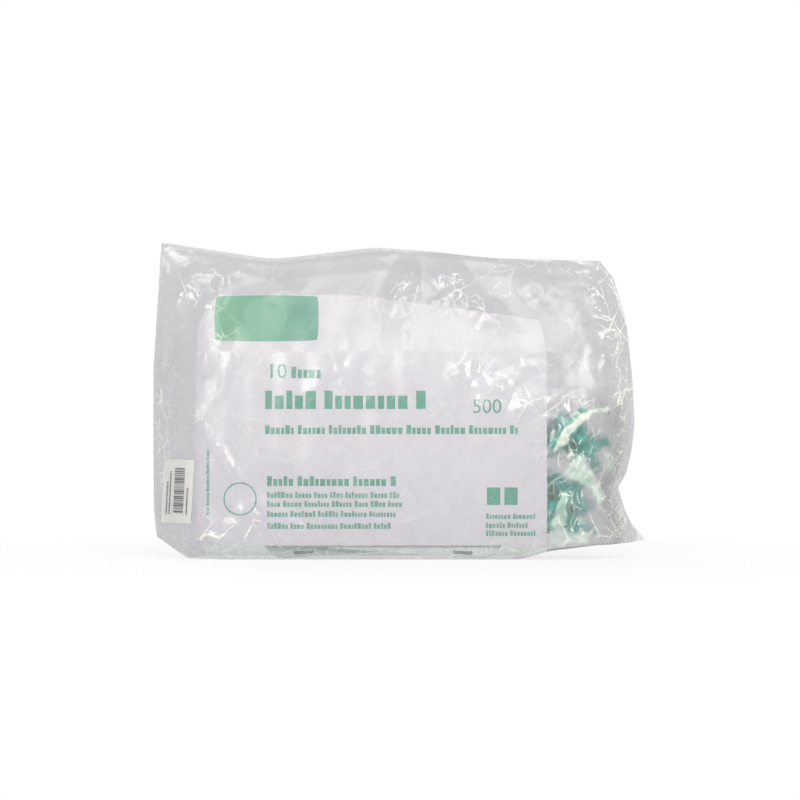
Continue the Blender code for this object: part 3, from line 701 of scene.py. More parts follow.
def film_mesh():
    """The film as one closed skin: up the front, down the back and across under the bags."""
    rows = 2 * FILM_ROWS + FOOT_ROWS
    bm = bmesh.new()
    bmesh.ops.create_grid(bm, x_segments=FILM_COLUMNS, y_segments=rows, size=0.5)
    bm.verts.ensure_lookup_table()
    flat = np.array([vertex.co for vertex in bm.verts])
    across = flat[:, 0] + 0.5
    around = (flat[:, 1] + 0.5) * rows
    flat_x = LEFT + across * (SEAM_RIGHT - LEFT)
    low = bottom_edge(flat_x + across * EAR_REACH)
    high = top_edge(flat_x)
    front = unit(around / FILM_ROWS)
    back = unit((2 * FILM_ROWS - around) / FILM_ROWS)
    on_front = around <= FILM_ROWS + 0.01
    on_foot = around > 2 * FILM_ROWS + 0.01
    share = np.where(on_front, front, back)
    share = np.where(on_foot, 0.0, share)
    z = low + share * (high - low)
    x = left_edge(z) + across * (right_edge(z) - left_edge(z))
    y = np.where(on_front, -film_depth(-1, x, z), film_depth(1, x, z))
    z = z + CORNER_RISE * unit(1.0 - share / 0.02) * fullness(x, z)
    foot_share = unit((around - 2 * FILM_ROWS) / FOOT_ROWS)
    foot_depth = plain_depth(x, low)
    inner = (foot_share > 0.001) & (foot_share < 0.999)
    foot_y = BOTTOM_FLAT * foot_depth * (1.0 - 2.0 * foot_share)
    y = np.where(on_foot & inner, foot_y, y)
    y = np.where(on_foot & ~inner, -film_depth(-1, x, low), y)
    z = np.where(on_foot & inner, low, z)
    for vertex, place in zip(bm.verts, np.stack((x, y, z), 1)):
        vertex.co = place
    bmesh.ops.remove_doubles(bm, verts=bm.verts, dist=0.00002)
    bmesh.ops.dissolve_degenerate(bm, edges=bm.edges, dist=0.000001)
    bmesh.ops.recalc_face_normals(bm, faces=bm.faces)
    hole = []
    for face in bm.faces:
        middle = face.calc_center_median()
        if middle.y > 0.0 and math.hypot(middle.x - VENT_X, middle.z - VENT_Z) < VENT_RADIUS:
            hole.append(face)
    bmesh.ops.delete(bm, geom=hole, context="FACES")
    mesh = mesh_of("film", bm, 70.0)
    places = np.zeros(len(mesh.vertices) * 3)
    mesh.vertices.foreach_get("co", places)
    for name, values in zip(FILM_FIELDS, film_fields(*places.reshape(-1, 3).T)):
        attribute = mesh.attributes.new(name, "FLOAT", "POINT")
        attribute.data.foreach_set("value", values.astype(np.float32))
    return mesh


def film_fields(x, y, z):
    """Values of the named film fields at places of the film."""
    on_front = y < 0.0
    seam = from_seam(x, z, right_edge(z))
    weld = unit(1.0 - np.abs(seam - WELD_IN) / WELD_SOFT)
    band = unit(1.0 - np.abs(SEAM_RIGHT - BAND_IN - x) / BAND_SOFT)
    slight = 0.16 + 0.26 * unit(drift(x, z, 0.040, 61, 10))
    broken = np.where(on_front, np.maximum(slight, crushed(x, z)), 0.25)
    # Painted glare over the taps and painted light in the strip under the insert.
    double = np.where(on_front, doubled_glare(x, z), 0.0)
    open_film = unit((plain_depth(x, z) - 0.0010) / CLOUDY_SOFT)
    limit = CLOUDY_TOP + 0.004 * drift(x, z, 0.014, 91, 8)
    cloudy = open_film * unit((limit - z) / CLOUDY_SOFT) * on_front
    cloudy = cloudy * unit((x - SHEET_LEFT - SHEET_WIDTH) / SHEET_EDGE_SOFT)
    return weld, band, broken, double, cloudy


# Insert and sticker


def sheet_top(across):
    """The insert's top edge: the model's straight one, and how the paper bends off it."""
    straight = SHEET_HEIGHT + SHEET_RISE_LEFT - across * (SHEET_RISE_LEFT + SHEET_FALL_RIGHT)
    return SHEET_BOTTOM + straight + float(eased(SHEET_TOP, across, 0.04))


def sheet_y(x, z):
    """Where the insert's front lies behind the film."""
    return film_front(x, z) + SHEET_GAP


def label_place(across, up):
    """A place on the sticker's back and the way that the film faces there."""
    x = LABEL_LEFT + across * LABEL_WIDTH + up * LABEL_LEAN
    z = LABEL_BOTTOM + up * LABEL_HEIGHT
    step = 0.001
    y, beside, above = (float(film_front(*spot)) for spot in ((x, z), (x + step, z), (x, z + step)))
    facing = Vector((beside - y, -step, above - y)).normalized()
    return Vector((x, y, z)), facing


def thin_sheet(cells_made, place, thickness):
    """A sheet with a front, a back and an edge, from a grid placed by its shares."""
    bm = bmesh.new()
    grid(bm, *cells_made, place)
    bm.normal_update()
    if sum(face.normal.y for face in bm.faces) > 0.0:
        bmesh.ops.reverse_faces(bm, faces=bm.faces)
    bmesh.ops.solidify(bm, geom=bm.faces, thickness=thickness)
    bmesh.ops.recalc_face_normals(bm, faces=bm.faces)
    return bm


def on_sheet(x, z, lift=DECAL_LIFT):
    return Vector((x, float(sheet_y(x, z)) - lift, z))


def spot(pixel_x, pixel_y):
    """A place on the front, in metres, from the photo's own pixel."""
    return (pixel_x - PIXEL_MIDDLE) * PIXEL, (PIXEL_FLOOR - pixel_y) * PIXEL


def patch(bm, left, low, right, high, place, cell=0.004):
    """A printed block on a curved surface."""
    columns = max(1, round((right - left) / cell))
    rows = max(1, round((high - low) / cell))
    grid(bm, columns, rows, lambda across, up: place(
        left + across * (right - left), low + up * (high - low),
    ))


def plain_words(bm, left, low, right, height, draw, place):
    """A line of print with no letters in it: blocks of mixed width, set in word lengths."""
    x = left
    while x < right:
        for step in range(draw.randint(4, 9)):
            wide = height * draw.uniform(0.40, 0.76)
            if x + wide > right:
                return
            tall = height * (1.38 if step == 0 or draw.random() < 0.12 else 1.0)
            patch(bm, x, low, x + wide, low + tall, place)
            x += wide + height * 0.21
        x += height * 0.45


def facing_front(bm):
    bm.normal_update()
    back = [face for face in bm.faces if face.normal.y > 0.0]
    bmesh.ops.reverse_faces(bm, faces=back)
    return bm


# Leg bags


def bag_matrix(index):
    """Where a leg bag lies: side by side, tilted by turns and fanned out a little."""
    from_middle = index - (BAG_COUNT - 1) / 2
    tilt = BAG_TILT if index % 2 == 0 else -BAG_TILT
    middle = Matrix.Translation((BAG_MIDDLE, from_middle * BAG_PITCH, BAG_CENTRE))
    fan = Matrix.Rotation(BAG_FAN * from_middle, 4, "X")
    return middle @ fan @ Matrix.Rotation(tilt, 4, "Y")


def tap_matrix(index):
    """Where a tap lies, from the inlet of its body along its flow."""
    along_x, up, angle, side = TAP_POSES[index]
    pair_y = (index - index % 2 - (BAG_COUNT - 2) / 2) * BAG_PITCH
    inlet = Vector((BAG_MIDDLE + BAG_LENGTH / 2 + along_x, pair_y, BAG_CENTRE + up))
    turn = Matrix.Rotation(math.radians(90.0 - angle), 4, "Y")
    flip = Matrix.Rotation(0.0 if side > 0 else math.pi, 4, "Z")
    return Matrix.Translation(inlet) @ turn @ flip


def outlet_route(bag, tap):
    """Points of an outlet tube, from its weld in the bag to its seat in the tap."""
    edge = BAG_LENGTH / 2
    weld = bag @ Vector((edge - TUBE_WELD_DEPTH, 0.0, 0.0))
    leave = bag @ Vector((edge + TUBE_STRAIGHT, 0.0, 0.0))
    enter = tap @ Vector((0.0, 0.0, -TUBE_STRAIGHT))
    seat = tap @ Vector((0.0, 0.0, SOCKET_DEPTH - 0.0005))
    out = (leave - weld).normalized()
    into = (seat - enter).normalized()
    reach = TUBE_BEND * (enter - leave).length
    first = leave + out * reach
    second = enter - into * reach
    points = [weld]
    for step in range(TUBE_POINTS):
        share = step / (TUBE_POINTS - 1)
        rest = 1.0 - share
        points.append(
            leave * rest ** 3 + first * 3.0 * rest ** 2 * share
            + second * 3.0 * rest * share ** 2 + enter * share ** 3
        )
    return points + [seat]


def tube_mesh(points):
    curve = bpy.data.curves.new("tube", "CURVE")
    curve.dimensions = "3D"
    curve.bevel_depth = TUBE_RADIUS
    curve.bevel_resolution = 3
    curve.use_fill_caps = True
    spline = curve.splines.new("POLY")
    spline.points.add(len(points) - 1)
    for point, place in zip(spline.points, points):
        point.co = (*place, 1.0)
    return baked(placed("tube", curve))


def corner_rounded(value_x, value_z):
    """A place in the bag's rectangle moved so that the rectangle's corners are round."""
    side_x = math.copysign(1.0, value_x)
    side_z = math.copysign(1.0, value_z)
    over_x = abs(value_x) - (BAG_LENGTH / 2 - BAG_CORNER)
    over_z = abs(value_z) - (BAG_HEIGHT / 2 - BAG_CORNER)
    if over_x <= 0.0 or over_z <= 0.0:
        return value_x, value_z
    square = 2.0 * BAG_CORNER ** 2
    new_x = over_x * math.sqrt(1.0 - over_z ** 2 / square)
    new_z = over_z * math.sqrt(1.0 - over_x ** 2 / square)
    return value_x + side_x * (new_x - over_x), value_z + side_z * (new_z - over_z)


def bag_body_mesh():
    """A flat welded bag: a welded rim with a raised bead, and a soft pillow inside it."""
    bm = bmesh.new()
    for side in (-1, 1):
        columns, rows = BAG_CELLS
        made = bmesh.ops.create_grid(bm, x_segments=columns, y_segments=rows, size=0.5)
        verts = made["verts"]
        flat = np.array([vertex.co for vertex in verts])
        x = flat[:, 0] * BAG_LENGTH
        z = flat[:, 1] * BAG_HEIGHT
        edge = np.minimum(BAG_LENGTH / 2 - np.abs(x), BAG_HEIGHT / 2 - np.abs(z))
        share = unit((edge - WELD_WIDTH) / SHOULDER)
        pillow = share * share * (3.0 - 2.0 * share)
        bead = BEAD_HEIGHT * np.exp(-((edge - WELD_WIDTH + BEAD_OUT) / BEAD_REACH) ** 2)
        high = WELD_HALF * unit(edge / RIM_SOFT) + bead
        high = high + (PILLOW_HALF - WELD_HALF) * pillow
        high = high - 0.00045 * pillow * facets(x, z, 0.020, 90 + side, 5)
        for vertex, flat_x, flat_z, out in zip(verts, x, z, high):
            round_x, round_z = corner_rounded(flat_x, flat_z)
            vertex.co = (round_x, side * out, round_z)
        for face in {face for vertex in verts for face in vertex.link_faces}:
            face.material_index = 0 if side < 0 else 1
    body = mesh_of("bag", closed_up(bm))
    slots = bmesh.new()
    size = Matrix.Diagonal((*SLOT_SIZE, 1.0))
    for x in (-SLOT_X, SLOT_X):
        for z in (-SLOT_Z, SLOT_Z):
            bmesh.ops.create_cube(slots, size=1.0, matrix=Matrix.Translation((x, 0.0, z)) @ size)
    upright = [
        edge for edge in slots.edges if abs(edge.verts[0].co.y - edge.verts[1].co.y) > 0.001
    ]
    soften(slots, upright, SLOT_CORNER, 3)
    return combined(body, "DIFFERENCE", [mesh_of("slots", slots)])


def connector_bm():
    """Stepped inlet connector about Z: ribbed collar, neck, barbed cone, bored through."""
    return lathe([
        (CONNECTOR_BORE, CONNECTOR_LENGTH), (CONNECTOR_TIP, CONNECTOR_LENGTH),
        (0.0028, 0.0235), (0.0026, 0.0230), (0.0031, 0.0165), (0.0029, 0.0160),
        (CONNECTOR_NECK, 0.0090), (CONNECTOR_NECK, 0.0073), (COLLAR_RADIUS, COLLAR_LENGTH),
        (COLLAR_RADIUS, 0.0052), (RING_RADIUS, 0.0050), (RING_RADIUS, 0.0038), (COLLAR_RADIUS, 0.0036),
        (COLLAR_RADIUS, 0.0), (SOCKET_RADIUS, 0.0), (SOCKET_RADIUS, SOCKET_DEPTH),
        (CONNECTOR_BORE, SOCKET_DEPTH),
    ], radius=0.00025, closed=True)


def cap_bm():
    """Cap about Z over the connector's cone, with a ring at its mouth and a domed crown."""
    mouth = CONNECTOR_NECK + CAP_CLEARANCE
    crown = CONNECTOR_TIP + CAP_CLEARANCE
    inside = CONNECTOR_LENGTH + CAP_CLEARANCE
    start = COLLAR_LENGTH + 0.0008 + CAP_CLEARANCE
    return lathe([
        (0.0, inside + CAP_TOP), (crown + CAP_WALL, inside + CAP_TOP),
        (mouth + CAP_WALL - 0.0001, start + 0.0028), (mouth + CAP_WALL + 0.0003, start + 0.0024),
        (mouth + CAP_WALL + 0.0003, start), (mouth, start), (crown, inside), (0.0, inside),
    ], radius=0.0005)


def tap_body_mesh():
    """Tap body about Z: ringed collar, barrel, stepped nozzle, and the cross housing."""
    nozzle = TAP_LENGTH - NOZZLE_LENGTH
    barrel = lathe([
        (FLOW_BORE, TAP_LENGTH), (NOZZLE_TIP, TAP_LENGTH), (0.0027, TAP_LENGTH - 0.0012),
        (0.00295, TAP_LENGTH - 0.0016), (NOZZLE_RADIUS, nozzle), (BARREL_RADIUS, nozzle - 0.0002),
        (BARREL_RADIUS, 0.0090), (BARREL_RADIUS, 0.0073), (COLLAR_RADIUS, COLLAR_LENGTH),
        (COLLAR_RADIUS, 0.0054), (RING_RADIUS, 0.0052), (RING_RADIUS, 0.0042), (COLLAR_RADIUS, 0.0040),
        (COLLAR_RADIUS, 0.0028), (RING_RADIUS, 0.0026), (RING_RADIUS, 0.0016), (COLLAR_RADIUS, 0.0014),
        (COLLAR_RADIUS, 0.0), (SOCKET_RADIUS, 0.0), (SOCKET_RADIUS, SOCKET_DEPTH),
        (FLOW_BORE, SOCKET_DEPTH),
    ], radius=0.00025, closed=True)
    lying = Matrix.Translation((0.0, 0.0, HOUSING_FROM_INLET)) @ Matrix.Rotation(math.pi / 2, 4, "Y")
    housing = rod(HOUSING_RADIUS, HOUSING_LENGTH, lying, 0.0005)
    bore = rod(SLIDE_BORE, HOUSING_LENGTH * 2.0, lying)
    mesh = combined(mesh_of("barrel", barrel), "UNION", [mesh_of("housing", housing)])
    return smoothed(combined(mesh, "DIFFERENCE", [mesh_of("bore", bore)]), 35.0)


def slide_bm():
    """Cross bar about its own Z, with a ring groove and a dished knob at each end."""
    far = HOUSING_LENGTH / 2 + SLIDE_STOP_GAP + SLIDE_TRAVEL
    near = -HOUSING_LENGTH / 2 - SLIDE_STOP_GAP
    knob = SLIDE_KNOB_LENGTH
    return lathe([
        (0.0, far + knob - 0.0005), (0.0024, far + knob - 0.0004), (0.0028, far + knob),
        (SLIDE_KNOB_RADIUS, far + knob), (SLIDE_KNOB_RADIUS, far), (SLIDE_RADIUS, far),
        (SLIDE_RADIUS, far - 0.0034), (0.0021, far - 0.0036), (0.0021, far - 0.0046),
        (SLIDE_RADIUS, far - 0.0048), (SLIDE_RADIUS, near), (SLIDE_KNOB_RADIUS, near),
        (SLIDE_KNOB_RADIUS, near - knob), (0.0028, near - knob), (0.0024, near - knob + 0.0004),
        (0.0, near - knob + 0.0005),
    ], radius=0.0003)


# Materials


def add_node(tree, kind, values=(), **settings):
    """A shader node with its settings, and its inputs set or linked."""
    item = tree.nodes.new(kind)
    for key, value in settings.items():
        setattr(item, key, value)
    for key, value in dict(values).items():
        if isinstance(value, bpy.types.NodeSocket):
            tree.links.new(value, item.inputs[key])
        else:
            item.inputs[key].default_value = value
    return item


def new_material(name):
    """An empty material and its node tree."""
    material = bpy.data.materials.new(name)
    material.use_nodes = True
    material.node_tree.nodes.clear()
    return material, material.node_tree


def surfaced(material, shader):
    """The material with a shader as its surface."""
    tree = material.node_tree
    output = add_node(tree, "ShaderNodeOutputMaterial")
    tree.links.new(shader.outputs[0], output.inputs["Surface"])
    return material


def principled(tree, tone, roughness, **more):
    """A principled shader; each further input is given by its name, with _ for a space."""
    values = {name.replace("_", " "): value for name, value in more.items()}
    return add_node(
        tree, "ShaderNodeBsdfPrincipled", {"Base Color": tone, "Roughness": roughness, **values},
    )


def object_place(tree):
    return add_node(tree, "ShaderNodeTexCoord").outputs["Object"]


def object_noise(tree, scale, detail=3.0, roughness=0.55, distortion=0.0):
    return add_node(tree, "ShaderNodeTexNoise", {
        "Vector": object_place(tree), "Scale": scale, "Detail": detail, "Roughness": roughness,
        "Distortion": distortion,
    }).outputs["Fac"]


def ramp(tree, factor, stops):
    """A colour ramp through (place, colour) stops."""
    item = add_node(tree, "ShaderNodeValToRGB", {"Fac": factor})
    elements = item.color_ramp.elements
    for _ in range(len(stops) - 2):
        elements.new(0.5)
    for element, (place, colour) in zip(elements, stops):
        element.position = place
        element.color = (*colour, 1.0)
    return item.outputs["Color"]


def shades(colour, low, high):
    return tuple(part * low for part in colour), tuple(min(1.0, part * high) for part in colour)


def span(tree, value, low, high, start=0.0, end=1.0):
    """A value mapped from one range to another."""
    return add_node(tree, "ShaderNodeMapRange", {
        "Value": value, "From Min": start, "From Max": end, "To Min": low, "To Max": high,
    }).outputs["Result"]


def math_node(tree, operation, first, second):
    item = tree.nodes.new("ShaderNodeMath")
    item.operation = operation
    for socket, value in zip(item.inputs, (first, second)):
        if isinstance(value, bpy.types.NodeSocket):
            tree.links.new(value, socket)
        else:
            socket.default_value = value
    return item.outputs[0]


def times(tree, first, second):
    return math_node(tree, "MULTIPLY", first, second)


def plus(tree, first, second):
    return math_node(tree, "ADD", first, second)


def higher(tree, first, second):
    return math_node(tree, "MAXIMUM", first, second)


def bump(tree, height, distance):
    return add_node(tree, "ShaderNodeBump", {
        "Height": height, "Distance": distance, "Strength": 1.0,
    }).outputs["Normal"]


def mixed(tree, share, first, second):
    """A mix of two shaders."""
    return add_node(tree, "ShaderNodeMixShader", {
        0: share, 1: first.outputs[0], 2: second.outputs[0],
    })


def seen_by(tree):
    """1 for rays from the camera, off gloss and through clear film, and 0 for lighting."""
    path = add_node(tree, "ShaderNodeLightPath")
    seen = higher(tree, path.outputs["Is Camera Ray"], path.outputs["Is Glossy Ray"])
    return higher(tree, seen, path.outputs["Is Transmission Ray"])


def plastic(name, colour, low, high, roughness, scale, relief, subsurface=0.0):
    """A moulded or extruded plastic: uneven tone, fine surface relief and a soft gloss."""
    material, tree = new_material(name)
    dark, light = shades(colour, low, high)
    tone = ramp(tree, object_noise(tree, scale, 4.0), ((0.32, dark), (0.68, light)))
    grain = object_noise(tree, scale * 9.0)
    return surfaced(material, principled(
        tree, tone, span(tree, grain, roughness * 0.8, roughness * 1.25),
        Normal=bump(tree, grain, relief), Subsurface_Weight=subsurface,
        Subsurface_Radius=(0.004, 0.004, 0.004),
    ))


def wandering(tree, place, drawn, reach):
    """Places moved by a drawn colour, so that lines between them wander."""
    shift = add_node(
        tree, "ShaderNodeVectorMath", {0: drawn, "Scale": reach}, operation="SCALE",
    ).outputs[0]
    return add_node(tree, "ShaderNodeVectorMath", {0: place, 1: shift}, operation="ADD").outputs[0]


def cell_edges(tree, place, scale):
    """How far places are from the edges of random cells."""
    return add_node(
        tree, "ShaderNodeTexVoronoi", {"Vector": place, "Scale": scale},
        feature="DISTANCE_TO_EDGE",
    ).outputs["Distance"]


def crease_relief_and_glare(tree, crush):
    """The finest creases of crushed film: their relief, and lines along them that carry a painted
    highlight for the glare on the creases, partly the whitening of crushed film.
    """
    place = object_place(tree)
    drawn = add_node(tree, "ShaderNodeTexNoise", {"Vector": place, "Scale": 60.0, "Detail": 3.0})
    bent = wandering(tree, place, drawn.outputs["Color"], 0.012)
    creases = 0.0
    # lines: a painted highlight along the creases
    lines = 0.0
    for scale, share, width in ((85.0, 1.0, 0.045), (210.0, 0.40, 0.07)):
        net = cell_edges(tree, bent, scale)
        creases = plus(tree, creases, times(tree, net, share))
        lines = higher(tree, lines, span(tree, net, share, 0.0, 0.0, width))
    lines = times(tree, lines, span(tree, object_noise(tree, 75.0), 0.0, 1.0, 0.46, 0.60))
    bent = wandering(tree, place, drawn.outputs["Color"], 0.0035)
    for turn, scale, patches in ((0.80, 66.0, 38.0), (-0.50, 84.0, 52.0)):
        turned = add_node(tree, "ShaderNodeMapping", {
            "Vector": bent, "Rotation": (0.0, turn, 0.0), "Scale": (1.0, 1.0, 3.0),
        }, vector_type="TEXTURE").outputs[0]
        net = cell_edges(tree, turned, scale)
        creases = plus(tree, creases, times(tree, net, 0.6))
        kept = span(tree, object_noise(tree, patches, 2.0), 0.0, 1.0, 0.50, 0.60)
        long_lines = times(tree, span(tree, net, 1.0, 0.0, 0.0, 0.035), kept)
        lines = higher(tree, lines, long_lines)
    creases = times(tree, creases, span(tree, crush, 0.30, 1.0))
    return creases, times(tree, lines, crush)


def film_material(look):
    """Clear polythene: a little grey, hazier at a slant, with a painted cream highlight along its sharp
    creases, partly the whitening of crushed film, and painted glare in the patches taken as folded double.
    """
    material, tree = new_material("clear_film")
    facing = add_node(tree, "ShaderNodeLayerWeight", {"Blend": 0.35}).outputs["Facing"]
    weld, band, crush, double, cloudy = (
        add_node(tree, "ShaderNodeAttribute", attribute_name=name).outputs["Fac"]
        for name in FILM_FIELDS
    )
    creases, lines = crease_relief_and_glare(tree, crush)
    # Stipple dots of the seam band: the band's own dots, made milky and cream, partly a painted highlight
    # for their glints.
    dots_and_glints = times(tree, span(tree, object_noise(tree, 800.0, 1.0, 0.5), 0.0, 1.0, 0.50, 0.60), band)
    dots_and_glints = times(tree, dots_and_glints, span(tree, object_noise(tree, 60.0), 0.12, 1.0, 0.42, 0.60))
    normal = bump(tree, plus(tree, creases, times(tree, dots_and_glints, 0.22)), look.crumple)
    # Milky haze of the doubled-glare patches: painted glare and painted light.
    milky = span(tree, object_noise(tree, 260.0, 4.0, 0.6), 0.58, 1.0, 0.38, 0.62)
    milky = times(tree, milky, double)
    haze = span(tree, facing, look.haze, look.haze_slant)
    haze = times(tree, haze, span(tree, object_noise(tree, 22.0, 4.0), 0.75, 1.3, 0.3, 0.7))
    # The crease lines, the stipple glints and the doubled-glare patches add painted light to the haze; the
    # weld adds the film's own haze.
    for part, share in ((weld, 0.05), (dots_and_glints, 0.32), (lines, 0.46), (milky, 0.45)):
        haze = plus(tree, haze, times(tree, part, share))
    # In the doubled-glare patches the tone turns mint, the taps' green painted onto the film, and at the
    # strongest cream: painted glare.
    tone = ramp(tree, times(tree, double, 0.7), (
        (0.0, look.body[:3]), (0.40, look.double[:3]), (0.70, look.double[:3]),
        (0.86, look.crease[:3]),
    ))
    # Along the crease lines and stipple dots the tone turns cream: a painted highlight.
    white = higher(tree, lines, times(tree, dots_and_glints, 0.8))
    tone = add_node(tree, "ShaderNodeMixRGB", {
        "Fac": span(tree, white, 0.0, 1.0, 0.0, 0.7), "Color1": tone, "Color2": (*look.crease[:3], 1.0),
    }).outputs["Color"]
    clear = ramp(tree, facing, ((0.0, look.clear[:3]), (0.95, look.clear_slant[:3])))
    straight = add_node(tree, "ShaderNodeBsdfTransparent", {"Color": clear})
    blurred = add_node(tree, "ShaderNodeBsdfRefraction", {
        "Color": clear, "Roughness": 0.72, "IOR": 1.30,
    })
    path = add_node(tree, "ShaderNodeLightPath")
    share = times(tree, times(tree, path.outputs["Is Camera Ray"], 0.80), cloudy)
    through = mixed(tree, share, straight, blurred)
    body = principled(tree, tone, 0.45, Normal=normal)
    gloss = principled(
        tree, (0.0, 0.0, 0.0, 1.0), span(tree, crush, 0.34, 0.17), IOR=1.5, Normal=normal,
    )
    film = mixed(tree, haze, through, body)
    return surfaced(material, add_node(
        tree, "ShaderNodeAddShader", {0: film.outputs[0], 1: gloss.outputs[0]},
    ))


def paper_material(name, colour):
    """Smooth printing paper: faint cloudiness and a fine fibre relief."""
    material, tree = new_material(name)
    dark, light = shades(colour, 0.95, 1.03)
    tone = ramp(tree, object_noise(tree, 130.0, 5.0, 0.7), ((0.3, dark), (0.7, light)))
    fibre = object_noise(tree, 2600.0, 4.0, 0.7, 0.4)
    return surfaced(material, principled(
        tree, tone, span(tree, fibre, 0.62, 0.82), Normal=bump(tree, fibre, 0.00006),
    ))


def printed(tree, tone):
    return principled(tree, tone, span(tree, object_noise(tree, 1800.0), 0.5, 0.7))


def ink_material(name, colour, fade):
    """Offset ink on paper: the tone breaks up a little where the paper shows."""
    material, tree = new_material(name)
    light = tuple(part + (0.9 - part) * fade for part in colour)
    tone = ramp(tree, object_noise(tree, 700.0, 4.0, 0.7), ((0.35, colour), (0.75, light)))
    return surfaced(material, printed(tree, tone))


def field_material(look):
    """The printed block at the insert's head: it runs from a pale to a deeper green."""
    material, tree = new_material("print_block")
    run = add_node(tree, "ShaderNodeSeparateXYZ", {"Vector": object_place(tree)}).outputs["X"]
    tone = ramp(
        tree, span(tree, run, 0.0, 1.0, *BLOCK_RUN), ((0.0, BLOCK_PALE), (1.0, look.ink[:3])),
    )
    return surfaced(material, printed(tree, tone))


def fleece_material(look):
    """Soft nonwoven back of a bag: fibres, and a grid of small bond points pressed in."""
    material, tree = new_material("fleece")
    points = add_node(tree, "ShaderNodeTexVoronoi", {
        "Vector": object_place(tree), "Scale": 620.0, "Randomness": 0.25,
    }).outputs["Distance"]
    fibre = object_noise(tree, 1900.0, 5.0, 0.75, 1.2)
    pressed = span(tree, points, 0.0, 1.0, 0.12, 0.30)
    height = plus(tree, pressed, times(tree, fibre, 0.6))
    dark, light = shades(look.fleece[:3], 0.86, 1.03)
    tone = ramp(tree, height, ((0.35, dark), (1.1, light)))
    return surfaced(material, principled(
        tree, tone, 0.9, Normal=bump(tree, height, 0.00018), Sheen_Weight=0.25,
    ))


def stage_material(name, lit_share):
    """Plain white, which shows white to the camera and in gloss, and keeps the shadow."""
    material, tree = new_material(name)
    away = add_node(
        tree, "ShaderNodeVectorMath", {0: object_place(tree)}, operation="LENGTH",
    ).outputs["Value"]
    share = times(tree, seen_by(tree), span(tree, away, 1.0 - lit_share, 1.0, 0.12, 0.34))
    lit = add_node(tree, "ShaderNodeBsdfDiffuse", {"Color": (0.9, 0.9, 0.9, 1.0)})
    white = add_node(tree, "ShaderNodeEmission", {"Color": (1.0, 1.0, 1.0, 1.0), "Strength": 1.0})
    return surfaced(material, mixed(tree, share, lit, white))


# Settings


def colour_setting(name, description, default):
    return FloatVectorProperty(
        name=name, description=description, subtype="COLOR", size=3, min=0.0, max=1.0,
        default=default,
    )


def number_setting(name, description, default, **more):
    return FloatProperty(name=name, description=description, default=default, **more)


class FilmLook(bpy.types.PropertyGroup):
    clear: colour_setting("Clear tint", "What one layer of film lets through", (0.754, 0.750, 0.764))
    clear_slant: colour_setting(
        "Clear tint at a slant", "What one layer lets through edge on", (0.71, 0.71, 0.725),
    )
    body: colour_setting("Film body", "The film's own pale tone", (0.52, 0.515, 0.53))
    # Mint of the doubled-glare patches: the taps' green painted onto the film, as a painted glare.
    double: colour_setting("Double film", "Film that lies folded double", (0.58, 0.74, 0.64))
    # Cream painted along the creases: a painted highlight for their glare, partly the whitening of crushed
    # film.
    crease: colour_setting("Crease", "Film whitened along a crease", (0.93, 0.92, 0.84))
    haze: number_setting(
        "Haze", "How cloudy the film is from the front", 0.08, min=0.0, max=1.0, subtype="FACTOR",
    )
    haze_slant: number_setting(
        "Haze at a slant", "How cloudy the film is edge on", 0.50, min=0.0, max=1.0, subtype="FACTOR",
    )
    crumple: number_setting(
        "Crumple", "Height of the finest creases", 0.0004, min=0.0, unit="LENGTH",
    )


class PrintLook(bpy.types.PropertyGroup):
    paper: colour_setting("Paper", "The insert's paper", (0.90, 0.89, 0.94))
    ink: colour_setting("Ink", "The insert's print", (0.055, 0.42, 0.28))
    label: colour_setting("Sticker", "The sticker's paper", (0.66, 0.66, 0.66))


class ContentsLook(bpy.types.PropertyGroup):
    bag: colour_setting("Bag film", "The leg bags' welded film", (0.86, 0.87, 0.93))
    fleece: colour_setting("Fleece", "The soft back of the leg bags", (0.88, 0.88, 0.89))
    tube: colour_setting("Tube", "Inlet stubs and outlet tubes", (0.72, 0.76, 0.79))
    connector: colour_setting("Connector", "Inlet connectors", (0.80, 0.83, 0.85))
    cap: colour_setting("Cap", "Connector caps", (0.86, 0.88, 0.89))
    tap: colour_setting("Tap", "Tap bodies", (0.010, 0.47, 0.38))
    slide: colour_setting("Tap bar", "Tap bars", (0.014, 0.52, 0.42))


class StageLook(bpy.types.PropertyGroup):
    lamp_power: number_setting("Lamp power", "Power that the lamps share out", 9.6, min=0.0, unit="POWER")
    distance: number_setting(
        "Camera distance", "From the camera to the pack's front", 1.9, min=0.5, unit="LENGTH",
    )
    frame_width: number_setting(
        "Framed width", "Width that the picture shows at the pack", 0.480, min=0.1, unit="LENGTH",
    )


# Operators


class MakeFilm(bpy.types.Operator):
    """Make the clear film pack with its folds, seams and vent hole"""
    bl_idname = "leg_bag_pack.make_film"
    bl_label = "Film pack"

    def execute(self, context):
        material = film_material(context.scene.film_look)
        piece("film_pack", film_mesh(), [material], "pack", "pack_film", "outer_bag")
        return {"FINISHED"}


